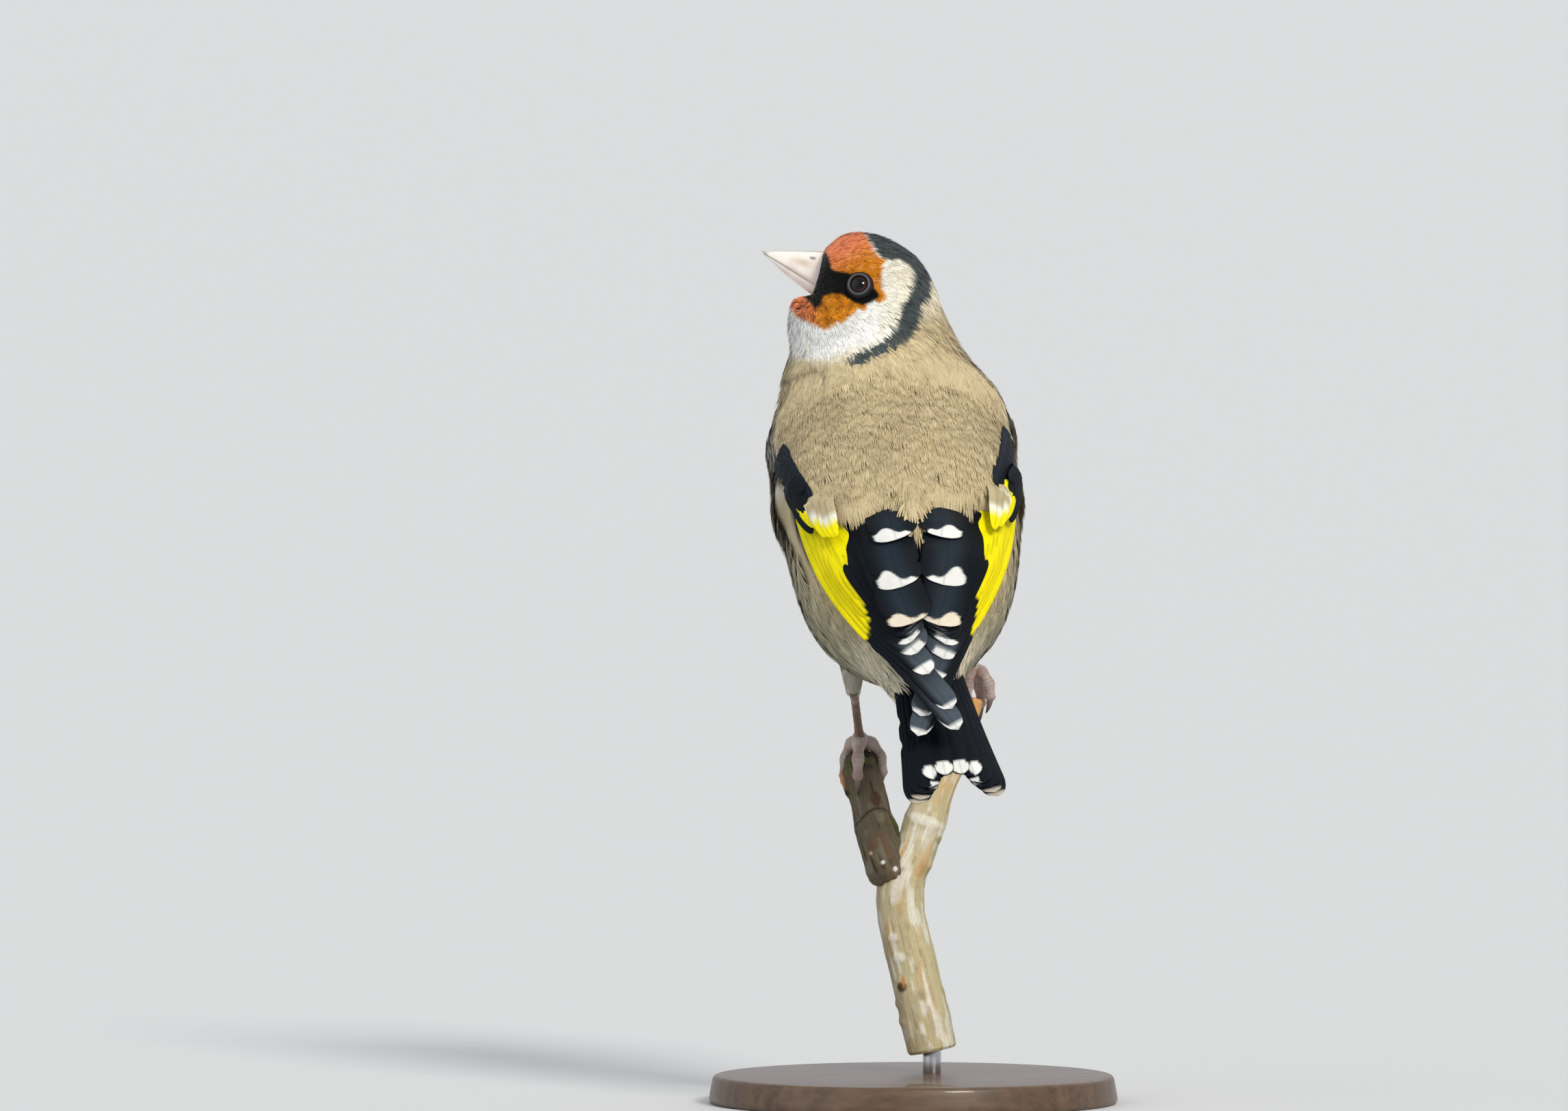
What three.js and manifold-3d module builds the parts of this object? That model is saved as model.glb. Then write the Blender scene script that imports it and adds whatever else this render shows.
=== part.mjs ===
// A European goldfinch, life size, perched on a forked twig over a plain display stand.
// It is seen from behind by a viewer who looks along +Y. Its head is turned to its left, and its bill
// points to -X and a little up. Sizes are in millimetres, +Z is up, and the origin is the middle of
// the stand's underside.
import * as THREE from "three";
import { mergeVertices } from "three/addons/utils/BufferGeometryUtils.js";
import Module from "manifold-3d";

const wasm = await Module();
wasm.setup();

// Gap between touching pieces, and the thickness of a flight feather's vane
const GAP = 0.3;
const VANE = 0.6;

// The bird's trunk: its middle, how far it is pitched up from level, turned and leaning to its left
const TRUNK = { at: [-2.65, 0, 104.5], pitch: 47, turn: 6, lean: 3 };
// The head: its middle, how far the bill points up, and how far it is turned to the left
const HEAD = { at: [-6.3, 12, 142.7], pitch: 20, turn: 78, lean: 0 };
// The tail swings a few degrees to the right about a point inside the rump
const TAIL_ROOT = -28;
const TAIL_SWING = 4;

// The masses of the plumage in each frame: [forward, left, up] of the middle, and the half sizes
const TRUNK_MASSES = [
  { name: "trunk", at: [-2, 0, 0], half: [33, 21.6, 18.2] },
  { name: "shoulders", at: [19, -0.8, 1], half: [14, 21.2, 14.5] },
  { name: "belly", at: [-17, 0.8, -5], half: [17, 16.4, 12] },
  { name: "tail coverts", at: [-33, 0, -1.5], half: [15, 7.5, 5] },
];
const HEAD_MASSES = [
  { name: "skull", at: [-0.2, 0, -0.2], half: [10, 8.7, 8.8] },
  { name: "forehead", at: [4.6, 0, 0.4], half: [6.2, 6, 6] },
  { name: "throat", at: [3.7, 0, -8.9], half: [9.7, 8.6, 7.9] },
];
const NECK_MASSES = [{ name: "neck", at: [-4.9, 0, -13.2], half: [13.6, 12.5, 13.4] }];
const SOFTEN = 7;
// The face is hollowed where the bill comes out of it
const BILL_HOLLOW = { at: [15.5, 0, -1.2], half: [6.9, 7, 5.6], soften: 1.6 };
// The wings lie on the trunk and on this longer, flatter mass, which holds them clear of the tail
const WING_BED = { at: [-30, 0, 0.5], half: [32, 15, 6.5] };

const V = (x, y, z) => new THREE.Vector3(x, y, z);
const radians = THREE.MathUtils.degToRad;
const { lerp, clamp, smoothstep } = THREE.MathUtils;

// A frame whose forward axis starts along +Y, pitched up, then turned to the left, then leaned.
function frameOf({ at, pitch, turn, lean }) {
  const axes = [V(0, 1, 0), V(-1, 0, 0), V(0, 0, 1)].map((axis) =>
    axis
      .applyAxisAngle(V(1, 0, 0), radians(pitch))
      .applyAxisAngle(V(0, 0, 1), radians(turn))
      .applyAxisAngle(V(0, 1, 0), radians(-lean)),
  );
  return { at: V(...at), forward: axes[0], left: axes[1], up: axes[2] };
}

// A place in a frame as a point of the model.
function place(frame, forward, left, up) {
  return frame.at
    .clone()
    .addScaledVector(frame.forward, forward)
    .addScaledVector(frame.left, left)
    .addScaledVector(frame.up, up);
}

const trunk = frameOf(TRUNK);
const head = frameOf(HEAD);
const tailFrame = {
  at: place(trunk, TAIL_ROOT, 0, 0),
  forward: trunk.forward.clone().applyAxisAngle(trunk.up, radians(TAIL_SWING)),
  left: trunk.left.clone().applyAxisAngle(trunk.up, radians(TAIL_SWING)),
  up: trunk.up.clone(),
};

// How far a point is outside an ellipsoid, to a good approximation near its surface.
function ellipsoid(frame, { at, half }) {
  const centre = place(frame, ...at);
  return (p) => {
    const r = p.clone().sub(centre);
    const q = V(r.dot(frame.forward) / half[0], r.dot(frame.left) / half[1], r.dot(frame.up) / half[2]);
    const near = q.length();
    const steep = V(q.x / half[0], q.y / half[1], q.z / half[2]).length();
    return steep < 1e-6 ? -Math.min(...half) : (near * (near - 1)) / steep;
  };
}

// Several masses joined softly, so that no crease shows between them.
function blended(masses, soften) {
  const join = (a, b) => {
    const h = Math.max(soften - Math.abs(a - b), 0) / soften;
    return Math.min(a, b) - (h * h * soften) / 4;
  };
  return (p) => masses.map((mass) => mass(p)).reduce(join);
}

const trunkMasses = TRUNK_MASSES.map((mass) => ellipsoid(trunk, mass));
const headMasses = [...HEAD_MASSES, ...NECK_MASSES].map((mass) => ellipsoid(head, mass));
const whole = blended([...trunkMasses, ...headMasses], SOFTEN);
const hollow = ellipsoid(head, BILL_HOLLOW);
const plumage = (p) => -blended([(q) => -whole(q), hollow], BILL_HOLLOW.soften)(p);
const wingSupport = blended([trunkMasses[0], trunkMasses[1], ellipsoid(trunk, WING_BED)], SOFTEN);

// The first place out from a point inside the field where it reaches a level.
function reach(field, from, direction, level, most = 60) {
  let near = 0;
  let far = most;
  for (let step = 0; step < 26; step++) {
    const middle = (near + far) / 2;
    if (field(from.clone().addScaledVector(direction, middle)) < level) near = middle;
    else far = middle;
  }
  return from.clone().addScaledVector(direction, near);
}

// The outward direction of a field at a point.
function outward(field, p) {
  const e = 0.05;
  const slope = (axis) => field(p.clone().addScaledVector(axis, e)) - field(p.clone().addScaledVector(axis, -e));
  return V(slope(V(1, 0, 0)), slope(V(0, 1, 0)), slope(V(0, 0, 1))).normalize();
}

// A point moved along the field's slope until it lies on a level of it.
function lay(field, p, level) {
  const laid = p.clone();
  for (let step = 0; step < 4; step++) laid.addScaledVector(outward(field, laid), level - field(laid));
  return laid;
}

// A closed surface through rings of points that starts and ends at a single point.
function ringed(first, rings, last) {
  const count = rings[0].length;
  const points = [first, ...rings.flat(), last];
  const index = [];
  const at = (row, k) => 1 + row * count + (k % count);
  for (let k = 0; k < count; k++) {
    index.push(0, at(0, k + 1), at(0, k));
    index.push(points.length - 1, at(rings.length - 1, k), at(rings.length - 1, k + 1));
    for (let row = 0; row + 1 < rings.length; row++) {
      index.push(at(row, k), at(row, k + 1), at(row + 1, k + 1));
      index.push(at(row, k), at(row + 1, k + 1), at(row + 1, k));
    }
  }
  return new THREE.BufferGeometry().setFromPoints(points).setIndex(index);
}

// A sheet of points made into a thin closed slab. Both faces are split into triangles alike.
function slab(rows, thickness) {
  const count = rows[0].length;
  const flat = rows.flat();
  const half = flat.length;
  const points = [
    ...flat.map(({ p, n, edge }) => p.clone().addScaledVector(n, (edge * thickness) / 2)),
    ...flat.map(({ p, n, edge }) => p.clone().addScaledVector(n, (-edge * thickness) / 2)),
  ];
  const at = (row, k) => row * count + k;
  const index = [];
  for (let row = 0; row + 1 < rows.length; row++) {
    for (let k = 0; k + 1 < count; k++) {
      const [a, b, c, d] = [at(row, k), at(row, k + 1), at(row + 1, k + 1), at(row + 1, k)];
      index.push(a, b, c, a, c, d, half + a, half + c, half + b, half + a, half + d, half + c);
    }
  }
  const rim = [];
  for (let k = 0; k + 1 < count; k++) rim.push(at(0, k));
  for (let row = 0; row + 1 < rows.length; row++) rim.push(at(row, count - 1));
  for (let k = count - 1; k > 0; k--) rim.push(at(rows.length - 1, k));
  for (let row = rows.length - 1; row > 0; row--) rim.push(at(row, 0));
  rim.forEach((a, i) => {
    const b = rim[(i + 1) % rim.length];
    index.push(a, half + a, half + b, a, half + b, b);
  });
  return new THREE.BufferGeometry().setFromPoints(points).setIndex(index);
}

// A three.js geometry as a solid with its faces pointing out.
function solid(geometry) {
  const bare = new THREE.BufferGeometry().setAttribute("position", geometry.getAttribute("position"));
  bare.setIndex(geometry.getIndex());
  const merged = mergeVertices(bare, 1e-4);
  const triVerts = new Uint32Array(merged.index.array);
  const vertProperties = new Float32Array(merged.attributes.position.array);
  const corner = (i) => V().fromArray(vertProperties, 3 * triVerts[i]);
  let volume = 0;
  for (let i = 0; i < triVerts.length; i += 3) volume += corner(i).dot(corner(i + 1).cross(corner(i + 2)));
  if (volume < 0) {
    for (let i = 0; i < triVerts.length; i += 3) {
      [triVerts[i + 1], triVerts[i + 2]] = [triVerts[i + 2], triVerts[i + 1]];
    }
  }
  return new wasm.Manifold(new wasm.Mesh({ numProp: 3, vertProperties, triVerts }));
}

const joined = (solids) => solids.reduce((a, b) => a.add(b));
const cut = (body, ...tools) => tools.reduce((a, b) => a.subtract(b), body);

// Only the largest closed piece of a solid: its outer surface, with no sealed hollow.
function largest(body) {
  return body.decompose().reduce((a, b) => (b.volume() > a.volume() ? b : a));
}

const group = new THREE.Group();

// Adds a solid to the model as a named mesh.
function addNode(name, body, { color, roughness, metalness = 0 }) {
  const { vertProperties, triVerts, numProp, numVert } = largest(body).getMesh();
  const positions = new Float32Array(numVert * 3);
  for (let i = 0; i < numVert; i++) positions.set(vertProperties.subarray(i * numProp, i * numProp + 3), i * 3);
  const geometry = new THREE.BufferGeometry();
  geometry.setAttribute("position", new THREE.BufferAttribute(positions, 3));
  geometry.setIndex(new THREE.BufferAttribute(triVerts, 1));
  geometry.computeVertexNormals();
  const mesh = new THREE.Mesh(geometry, new THREE.MeshStandardMaterial({ color, roughness, metalness }));
  mesh.name = name;
  group.add(mesh);
}

const BUFF = { color: 0xa8906c, roughness: 0.9 };
const BLACK = { color: 0x15181c, roughness: 0.7 };
const FACE = { color: 0xe8e2d4, roughness: 0.9 };
const HORN = { color: 0xe6d9cf, roughness: 0.4 };
const EYE = { color: 0x0d0906, roughness: 0.05 };
const SKIN = { color: 0xb59a93, roughness: 0.6 };
const CLAW = { color: 0x5a4a42, roughness: 0.4 };
const BARK = { color: 0xa79468, roughness: 0.85 };
const STEEL = { color: 0x8d9094, roughness: 0.3, metalness: 1 };
const WOOD = { color: 0x3a2a1e, roughness: 0.5 };

// The plumage: rays go out from a line that runs from the tail's root through the trunk to the head.
const SPINE = new THREE.QuadraticBezierCurve3(
  place(trunk, -40, 0, -1),
  place(trunk, 16, 0, -1),
  place(head, 0.5, 0, -0.5),
);
const ROUND = 28;

function plumageSolid(level) {
  const rings = [];
  const ring = (from, along, tilt) => {
    const side = trunk.left.clone().addScaledVector(along, -trunk.left.dot(along)).normalize();
    const back = along.clone().cross(side);
    const points = [];
    for (let k = 0; k < ROUND; k++) {
      const angle = (k / ROUND) * 2 * Math.PI;
      const direction = side
        .clone()
        .multiplyScalar(Math.cos(angle) * Math.cos(tilt))
        .addScaledVector(back, Math.sin(angle) * Math.cos(tilt))
        .addScaledVector(along, Math.sin(tilt));
      points.push(reach(plumage, from, direction, level));
    }
    rings.push(points);
  };
  const capRows = { tail: 3, head: 7 };
  const rows = 22;
  const start = SPINE.getPointAt(0);
  const end = SPINE.getPointAt(1);
  const startAlong = SPINE.getTangentAt(0);
  const endAlong = SPINE.getTangentAt(1);
  for (let i = 1; i < capRows.tail; i++) ring(start, startAlong, radians(-90 + (90 * i) / capRows.tail));
  for (let i = 0; i <= rows; i++) ring(SPINE.getPointAt(i / rows), SPINE.getTangentAt(i / rows), 0);
  for (let i = 1; i < capRows.head; i++) ring(end, endAlong, radians((90 * i) / capRows.head));
  const first = reach(plumage, start, startAlong.clone().negate(), level);
  const last = reach(plumage, end, endAlong, level);
  return solid(ringed(first, rings, last));
}

// A thin wide plate across a point, square to a direction.
function plate(point, normal, thickness, width = 120) {
  const box = new THREE.BoxGeometry(width, width, thickness);
  box.applyQuaternion(new THREE.Quaternion().setFromUnitVectors(V(0, 0, 1), normal.clone().normalize()));
  return solid(box.translate(point.x, point.y, point.z));
}

// A ball with flat facets, for joints, pits and eyes.
function ball(centre, radius, detail = 2) {
  return solid(new THREE.IcosahedronGeometry(radius, detail).translate(centre.x, centre.y, centre.z));
}

// A tube along a curve. Its radius is a function of the way along it, and its ends are flat.
function tube(curve, radiusAt, rows, sides, rough = () => 1) {
  const { normals, binormals } = curve.computeFrenetFrames(rows, false);
  const rings = [];
  for (let i = 0; i <= rows; i++) {
    const middle = curve.getPointAt(i / rows);
    const points = [];
    for (let k = 0; k < sides; k++) {
      const angle = (2 * Math.PI * k) / sides;
      const r = radiusAt(i / rows) * rough(i, k);
      points.push(
        middle
          .clone()
          .addScaledVector(normals[i], r * Math.cos(angle))
          .addScaledVector(binormals[i], r * Math.sin(angle)),
      );
    }
    rings.push(points);
  }
  return solid(ringed(curve.getPointAt(0), rings, curve.getPointAt(1)));
}

const bodySolid = plumageSolid(0);
const cleared = plumageSolid(GAP);

// The neck begins under the white cheeks and ends above the shoulders.
const HEAD_CUT = { at: V(-8, 12, 131), normal: V(-0.35, 0.1, 0.93) };
const NECK_CUT = { at: V(-5, 14, 122), normal: V(0, 0.4, 0.92) };
const parted = cut(bodySolid, plate(HEAD_CUT.at, HEAD_CUT.normal, GAP), plate(NECK_CUT.at, NECK_CUT.normal, GAP));
const pieces = parted.decompose().sort((a, b) => a.boundingBox().min[2] - b.boundingBox().min[2]);
const [torsoForm, neckForm, headForm] = pieces;

// The eyes look out of ringed lids on the sides of the skull.
const EYE_RADIUS = 2.3;
const EYE_AT = { forward: 1.6, up: 1.2, inset: 1.7 };
const LID = { radius: 1.95, thick: 0.5 };
function eye(side) {
  const start = place(head, EYE_AT.forward, 0, EYE_AT.up);
  const out = head.left.clone().multiplyScalar(side);
  const skin = reach(plumage, start, out, 0);
  const normal = outward(plumage, skin);
  const centre = skin.clone().addScaledVector(normal, -EYE_AT.inset);
  const lid = new THREE.TorusGeometry(LID.radius, LID.thick, 6, 16);
  lid.applyQuaternion(new THREE.Quaternion().setFromUnitVectors(V(0, 0, 1), normal));
  const rim = skin.clone().addScaledVector(normal, -0.1);
  lid.translate(rim.x, rim.y, rim.z);
  return { eyeball: ball(centre, EYE_RADIUS, 2), socket: ball(centre, EYE_RADIUS + GAP, 2), lid: solid(lid) };
}
const eyes = { left: eye(1), right: eye(-1) };

// The bill: its culmen, mouth line and lower edge meet at the tip. Places are [forward, up] on the head.
const BILL = { tip: [22, -0.67], culmen: [11.2, 3.3], gape: [9.4, -2.6], chin: [9.4, -5], width: 3.3 };
const BILL_ROOT = 7;
const BILL_ROWS = 10;
function mandible(upper) {
  const line = (edge, forward) => {
    const [f, u] = BILL[edge];
    const t = (forward - f) / (BILL.tip[0] - f);
    return lerp(u, BILL.tip[1], Math.min(t, 1));
  };
  const rings = [];
  for (let i = 0; i < BILL_ROWS; i++) {
    const forward = lerp(BILL_ROOT, BILL.tip[0], i / BILL_ROWS);
    const t = clamp((forward - BILL.gape[0]) / (BILL.tip[0] - BILL.gape[0]), 0, 1);
    const mouth = line("gape", forward) + (upper ? GAP / 2 : -GAP / 2);
    const swell = Math.sin(Math.PI * t);
    const far = upper ? line("culmen", forward) + 0.15 * swell : line("chin", forward) - 0.4 * swell;
    const depth = Math.max(Math.abs(far - mouth), 0.25);
    const wide = BILL.width * (1 - t) ** 0.8 * (upper ? 1 : 0.9) + 0.25;
    const points = [];
    for (let k = 0; k < 16; k++) {
      const angle = (2 * Math.PI * k) / 16;
      const rise = Math.max(Math.sin(angle), 0) * depth * (upper ? 1 : -1);
      points.push(place(head, forward, wide * Math.cos(angle), mouth + rise));
    }
    rings.push(points);
  }
  const root = place(head, BILL_ROOT, 0, line("gape", BILL_ROOT) + (upper ? 1 : -1));
  const drop = upper ? 0.25 : 0;
  const tip = place(head, BILL.tip[0] - (upper ? 0 : 0.6), 0, BILL.tip[1] - 0.15 + (upper ? drop : -0.2));
  return solid(ringed(root, rings, tip));
}
const nostrils = [1, -1].map((side) => ball(place(head, 13, 1.9 * side, 1.7), 0.55, 1));

addNode("head", cut(joined([headForm, eyes.left.lid, eyes.right.lid]), eyes.left.socket, eyes.right.socket), FACE);
addNode("neck", neckForm, BUFF);
addNode("bill_upper", cut(mandible(true), cleared, ...nostrils), HORN);
addNode("bill_lower", cut(mandible(false), cleared), HORN);
addNode("eye_left", eyes.left.eyeball, EYE);
addNode("eye_right", eyes.right.eyeball, EYE);

// A feather's vane: rows across its shaft laid on a field, rounded at the tip and narrow at the root.
// Raise is what lifts it further where it crosses the other wing.
const level = () => 0;
function vane({ field, from, to, half, lift, raise = level, rows = 6, tip = 0.14, bow = 0, camber = 0.25 }) {
  const shaft = (t) => {
    const p = from.clone().lerp(to, t);
    const along = to.clone().sub(from);
    const side = along.clone().cross(outward(field, p)).normalize();
    return p.addScaledVector(side, bow * 4 * t * (1 - t));
  };
  const grid = [];
  for (let i = 0; i <= rows; i++) {
    const t = i === rows ? 1 : (i / rows) * (1 - tip * 0.35);
    const height = lift + raise(shaft(t));
    const p = lay(field, shaft(t), height);
    const ahead = shaft(Math.min(t + 0.03, 1)).sub(shaft(Math.min(t, 0.97)));
    const n = outward(field, p);
    const side = ahead.cross(n).normalize();
    const body = lerp(0.55, 1, smoothstep(t, 0, 0.45));
    const round = t > 1 - tip ? Math.sqrt(Math.max(1 - ((t - 1 + tip) / tip) ** 2, 0.05)) : 1;
    const row = [];
    for (const across of [-1, 0, 1]) {
      const q = p.clone().addScaledVector(side, across * half * body * round);
      const low = height - camber * across * across;
      row.push({ p: lay(field, q, low), n, edge: Math.abs(across) === 1 ? 0.75 : 1 });
    }
    grid.push(row);
  }
  return solid(slab(grid, VANE));
}

// A place on the wing's bed, from its way along and across the trunk.
function onBed(along, across, lift = 0) {
  return reach(wingSupport, place(trunk, along, across, -2), trunk.up, lift);
}

// The wing's outer edge from the wrist to the tip, and its inner edge along the back.
const OUTER_EDGE = [
  [15, 21.2], [2, 20.9], [-8, 19.6], [-15.4, 18], [-25, 15], [-35.8, 10.2], [-41, 7.6], [-49, 3.6],
];
const INNER_EDGE = [[15, 13], [2, 9], [-8, 5], [-15.4, 1.5], [-25, 1], [-35.8, 0.5], [-41, 0], [-49, -1]];
function across(edge, along) {
  const i = edge.findIndex(([u]) => u <= along);
  if (i < 1) return edge[i < 0 ? edge.length - 1 : 0][1];
  const [[u0, v0], [u1, v1]] = [edge[i - 1], edge[i]];
  return lerp(v0, v1, (along - u0) / (u1 - u0));
}

// Each tier goes from the outer feather to the inner. Roots and tips are [along, across] on the trunk.
const TIERS = [
  { name: "primaries", count: 6, root: [[-3, 19.4], [-15, 14.8]], tip: [[-56.4, -3.2], [-43.4, 1.2]], half: 2.5,
    lift: [1, 2.7], rows: 6, bow: [3.5, 1.8] },
  { name: "secondaries", count: 3, root: [[-15, 14.4], [-14, 9.6]], tip: [[-42.2, 1.5], [-37, 2.9]], half: 2.9,
    lift: [2.9, 3.8], rows: 4, bow: [1.7, 0.6] },
  { name: "primary coverts", count: 3, root: [[3, 19.4], [0, 19]], tip: [[-15.4, 17.2], [-7.5, 18.2]], half: 1.6,
    lift: [1.5, 2.1], rows: 3, bow: [0.3, 0.3] },
  { name: "greater coverts", count: 4, root: [[-3, 17.8], [-6, 13.5]], tip: [[-14.8, 16.6], [-19, 14]], half: 2,
    lift: [1.9, 2.5], rows: 3, bow: [0.5, 0.5] },
  { name: "tertials", count: 3, root: [[-13, 7.6], [-12, 5.4]], tip: [[-37.5, 2.1], [-23.6, 3.9]], half: 4.5,
    lift: [4.3, 5.3], rows: 5, bow: [1, 0.4] },
  { name: "median coverts", count: 4, root: [[8, 18.6], [-3, 7]], tip: [[-8, 17.2], [-16, 7]], half: 3.5,
    lift: [2.6, 4], rows: 3, bow: [0, 0] },
];

// The left wing's tip lies over the right one's.
const CROSSING = { from: 30, to: 43, raise: 2.6 };
function crossing(p) {
  const behind = -p.clone().sub(trunk.at).dot(trunk.forward);
  return CROSSING.raise * smoothstep(behind, CROSSING.from, CROSSING.to);
}

function wing(side) {
  const raise = side > 0 ? crossing : level;
  const rows = [];
  const stations = 13;
  for (let i = 0; i <= stations; i++) {
    const along = lerp(15, -45, i / stations);
    const outer = across(OUTER_EDGE, along) - 1;
    const inner = across(INNER_EDGE, along);
    rows.push(
      [0, 0.25, 0.5, 0.75, 1].map((t) => {
        const bare = onBed(along, side * lerp(inner, outer, t), 1.1);
        const p = lay(wingSupport, bare, 1.1 + raise(bare));
        return { p, n: outward(wingSupport, p), edge: 1 };
      }),
    );
  }
  const feathers = TIERS.flatMap(({ count, root, tip, half, lift, rows: vaneRows, bow }) =>
    Array.from({ length: count }, (_, i) => {
      const t = i / (count - 1);
      const between = ([first, last]) => [lerp(first[0], last[0], t), lerp(first[1], last[1], t)];
      const [from, to] = [between(root), between(tip)];
      const height = lerp(...lift, t);
      return vane({
        field: wingSupport,
        from: onBed(from[0], side * from[1], height),
        to: onBed(to[0], side * to[1], height),
        half,
        lift: height,
        raise,
        rows: vaneRows,
        bow: side * lerp(...bow, t),
      });
    }),
  );
  return cut(joined([solid(slab(rows, 1.4)), ...feathers]), cleared);
}

// What the left wing covers is cut from the right one, with all that would stand above it.
const wings = { left: wing(1), right: wing(-1) };
const over = [-GAP, 0.6, 1.8, 3].map((height) => {
  const shift = trunk.up.clone().multiplyScalar(height);
  return wings.left.translate([shift.x, shift.y, shift.z]);
});
addNode("wing_left", wings.left, BLACK);
addNode("wing_right", cut(wings.right, wings.left, ...over), BLACK);

// The tail: rectrices in a shallow stack, the middle pair on top and shortest.
const TAIL = { pairs: 6, middle: 34.5, longer: 1.1, half: 3.2, top: 1.6, step: 0.42 };
function tailFeathers() {
  const flat = (p) => p.clone().sub(tailFrame.at).dot(tailFrame.up);
  return [1, -1].flatMap((side) =>
    Array.from({ length: TAIL.pairs }, (_, i) => {
      const lift = TAIL.top - TAIL.step * (i + (side < 0 ? 0.5 : 0));
      const length = TAIL.middle + TAIL.longer * Math.min(i, 4.5);
      return vane({
        field: flat,
        from: place(tailFrame, 6, side * (0.6 + 0.45 * i), lift),
        to: place(tailFrame, -length, side * (1.9 + 1.05 * i), lift),
        half: TAIL.half,
        lift,
        rows: 7,
        tip: 0.1,
        bow: -side * 0.15 * i,
      });
    }),
  );
}
addNode("tail", cut(joined(tailFeathers()), cleared), BLACK);

// The twig: a stem that forks into a short rough stub and a longer branch, cut off at the bottom.
const bark = (amount, seed) => (i, k) => 1 + amount * Math.sin(2.1 * i + 1.7 * k * k + seed) * Math.cos(1.3 * k + i * seed);
const STEM = [V(3.3, 3, 9.3), V(2.4, 3, 13.4), V(-0.4, 3.2, 25.4), V(-2.2, 3.4, 33.5), V(-2, 3.6, 39.6)];
const BRANCH = [V(-2, 3.6, 39.9), V(0.4, 3.8, 44), V(2.2, 4, 50), V(4.4, 4.2, 55.6), V(8.6, 4.2, 63), V(10.7, 4.1, 71)];
const STUB = [V(-2.4, 3.5, 36), V(-5.2, 3.8, 43.6), V(-7.4, 4.4, 49.6), V(-9.2, 5, 59.4)];
const along = (points) => new THREE.CatmullRomCurve3(points);
const stem = tube(along(STEM), (t) => 4.5 - 0.25 * t + 0.2 * Math.sin(7 * t), 8, 12, bark(0.03, 1));
const stemCleared = tube(along(STEM), (t) => 4.9 - 0.25 * t + 0.2 * Math.sin(7 * t), 8, 12);
const branchRadius = (t) => lerp(4.2, 1.9, smoothstep(t, 0, 1));
const branch = tube(along(BRANCH), branchRadius, 9, 10, bark(0.04, 2));
const branchCleared = tube(along(BRANCH), (t) => branchRadius(t) * 1.04 + GAP, 9, 12);
const stubRadius = (t) => lerp(4.1, 2.6, t) + 0.35 * Math.sin(9 * t);
const stub = tube(along(STUB), stubRadius, 8, 10, bark(0.09, 3));
const stubCleared = tube(along([...STUB, V(-9.2, 5, 59.4 + GAP)]), (t) => stubRadius(t) * 1.09 + GAP, 8, 12);
addNode("perch_stem", cut(stem, plate(V(-2, 3.6, 39.8), V(0.2, 0, 1), GAP + 0.3, 12)), BARK);
addNode("perch_branch", cut(branch, stemCleared), BARK);
addNode("perch_stub", cut(stub, stemCleared, branchCleared), BARK);

// Each leg: the feathered shank, the bare lower leg and the foot, whose toes drape over the twig's end.
const LEGS = {
  left: { knee: V(-10.8, -3, 84), ankle: V(-10.6, -6, 73.6), foot: V(-9.4, 4.8, 63.8), shank: [4.4, 1.2],
    toes: [-95, 20, 75, 130], drape: [5.2, 7] },
  right: { knee: V(9.6, -3.5, 85), ankle: V(9.6, -1, 79), foot: V(10.3, 4, 76.4), shank: [4, 2.2],
    toes: [-105, -10, 60, 120], drape: [4.3, 6.5] },
};
const HIDDEN_ANKLE = V(9.6, -6.5, 83.6);
const TOE = { thick: 1.1, thin: 0.75, turn: 100, claw: 30 };
const TOE_LENGTHS = [0.85, 0.8, 1, 0.9];
function toePath({ foot, drape: [out, down] }, azimuth, fromTurn, toTurn, scale) {
  const direction = V(Math.cos(radians(azimuth)), Math.sin(radians(azimuth)), 0);
  const points = Array.from({ length: 7 }, (_, i) => {
    const turn = radians(lerp(fromTurn, toTurn, i / 6));
    return foot
      .clone()
      .addScaledVector(direction, out * Math.sin(turn))
      .add(V(0, 0, -down * scale * (1 - Math.cos(turn))));
  });
  return along(points);
}
const KNUCKLE = 1.4;
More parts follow.
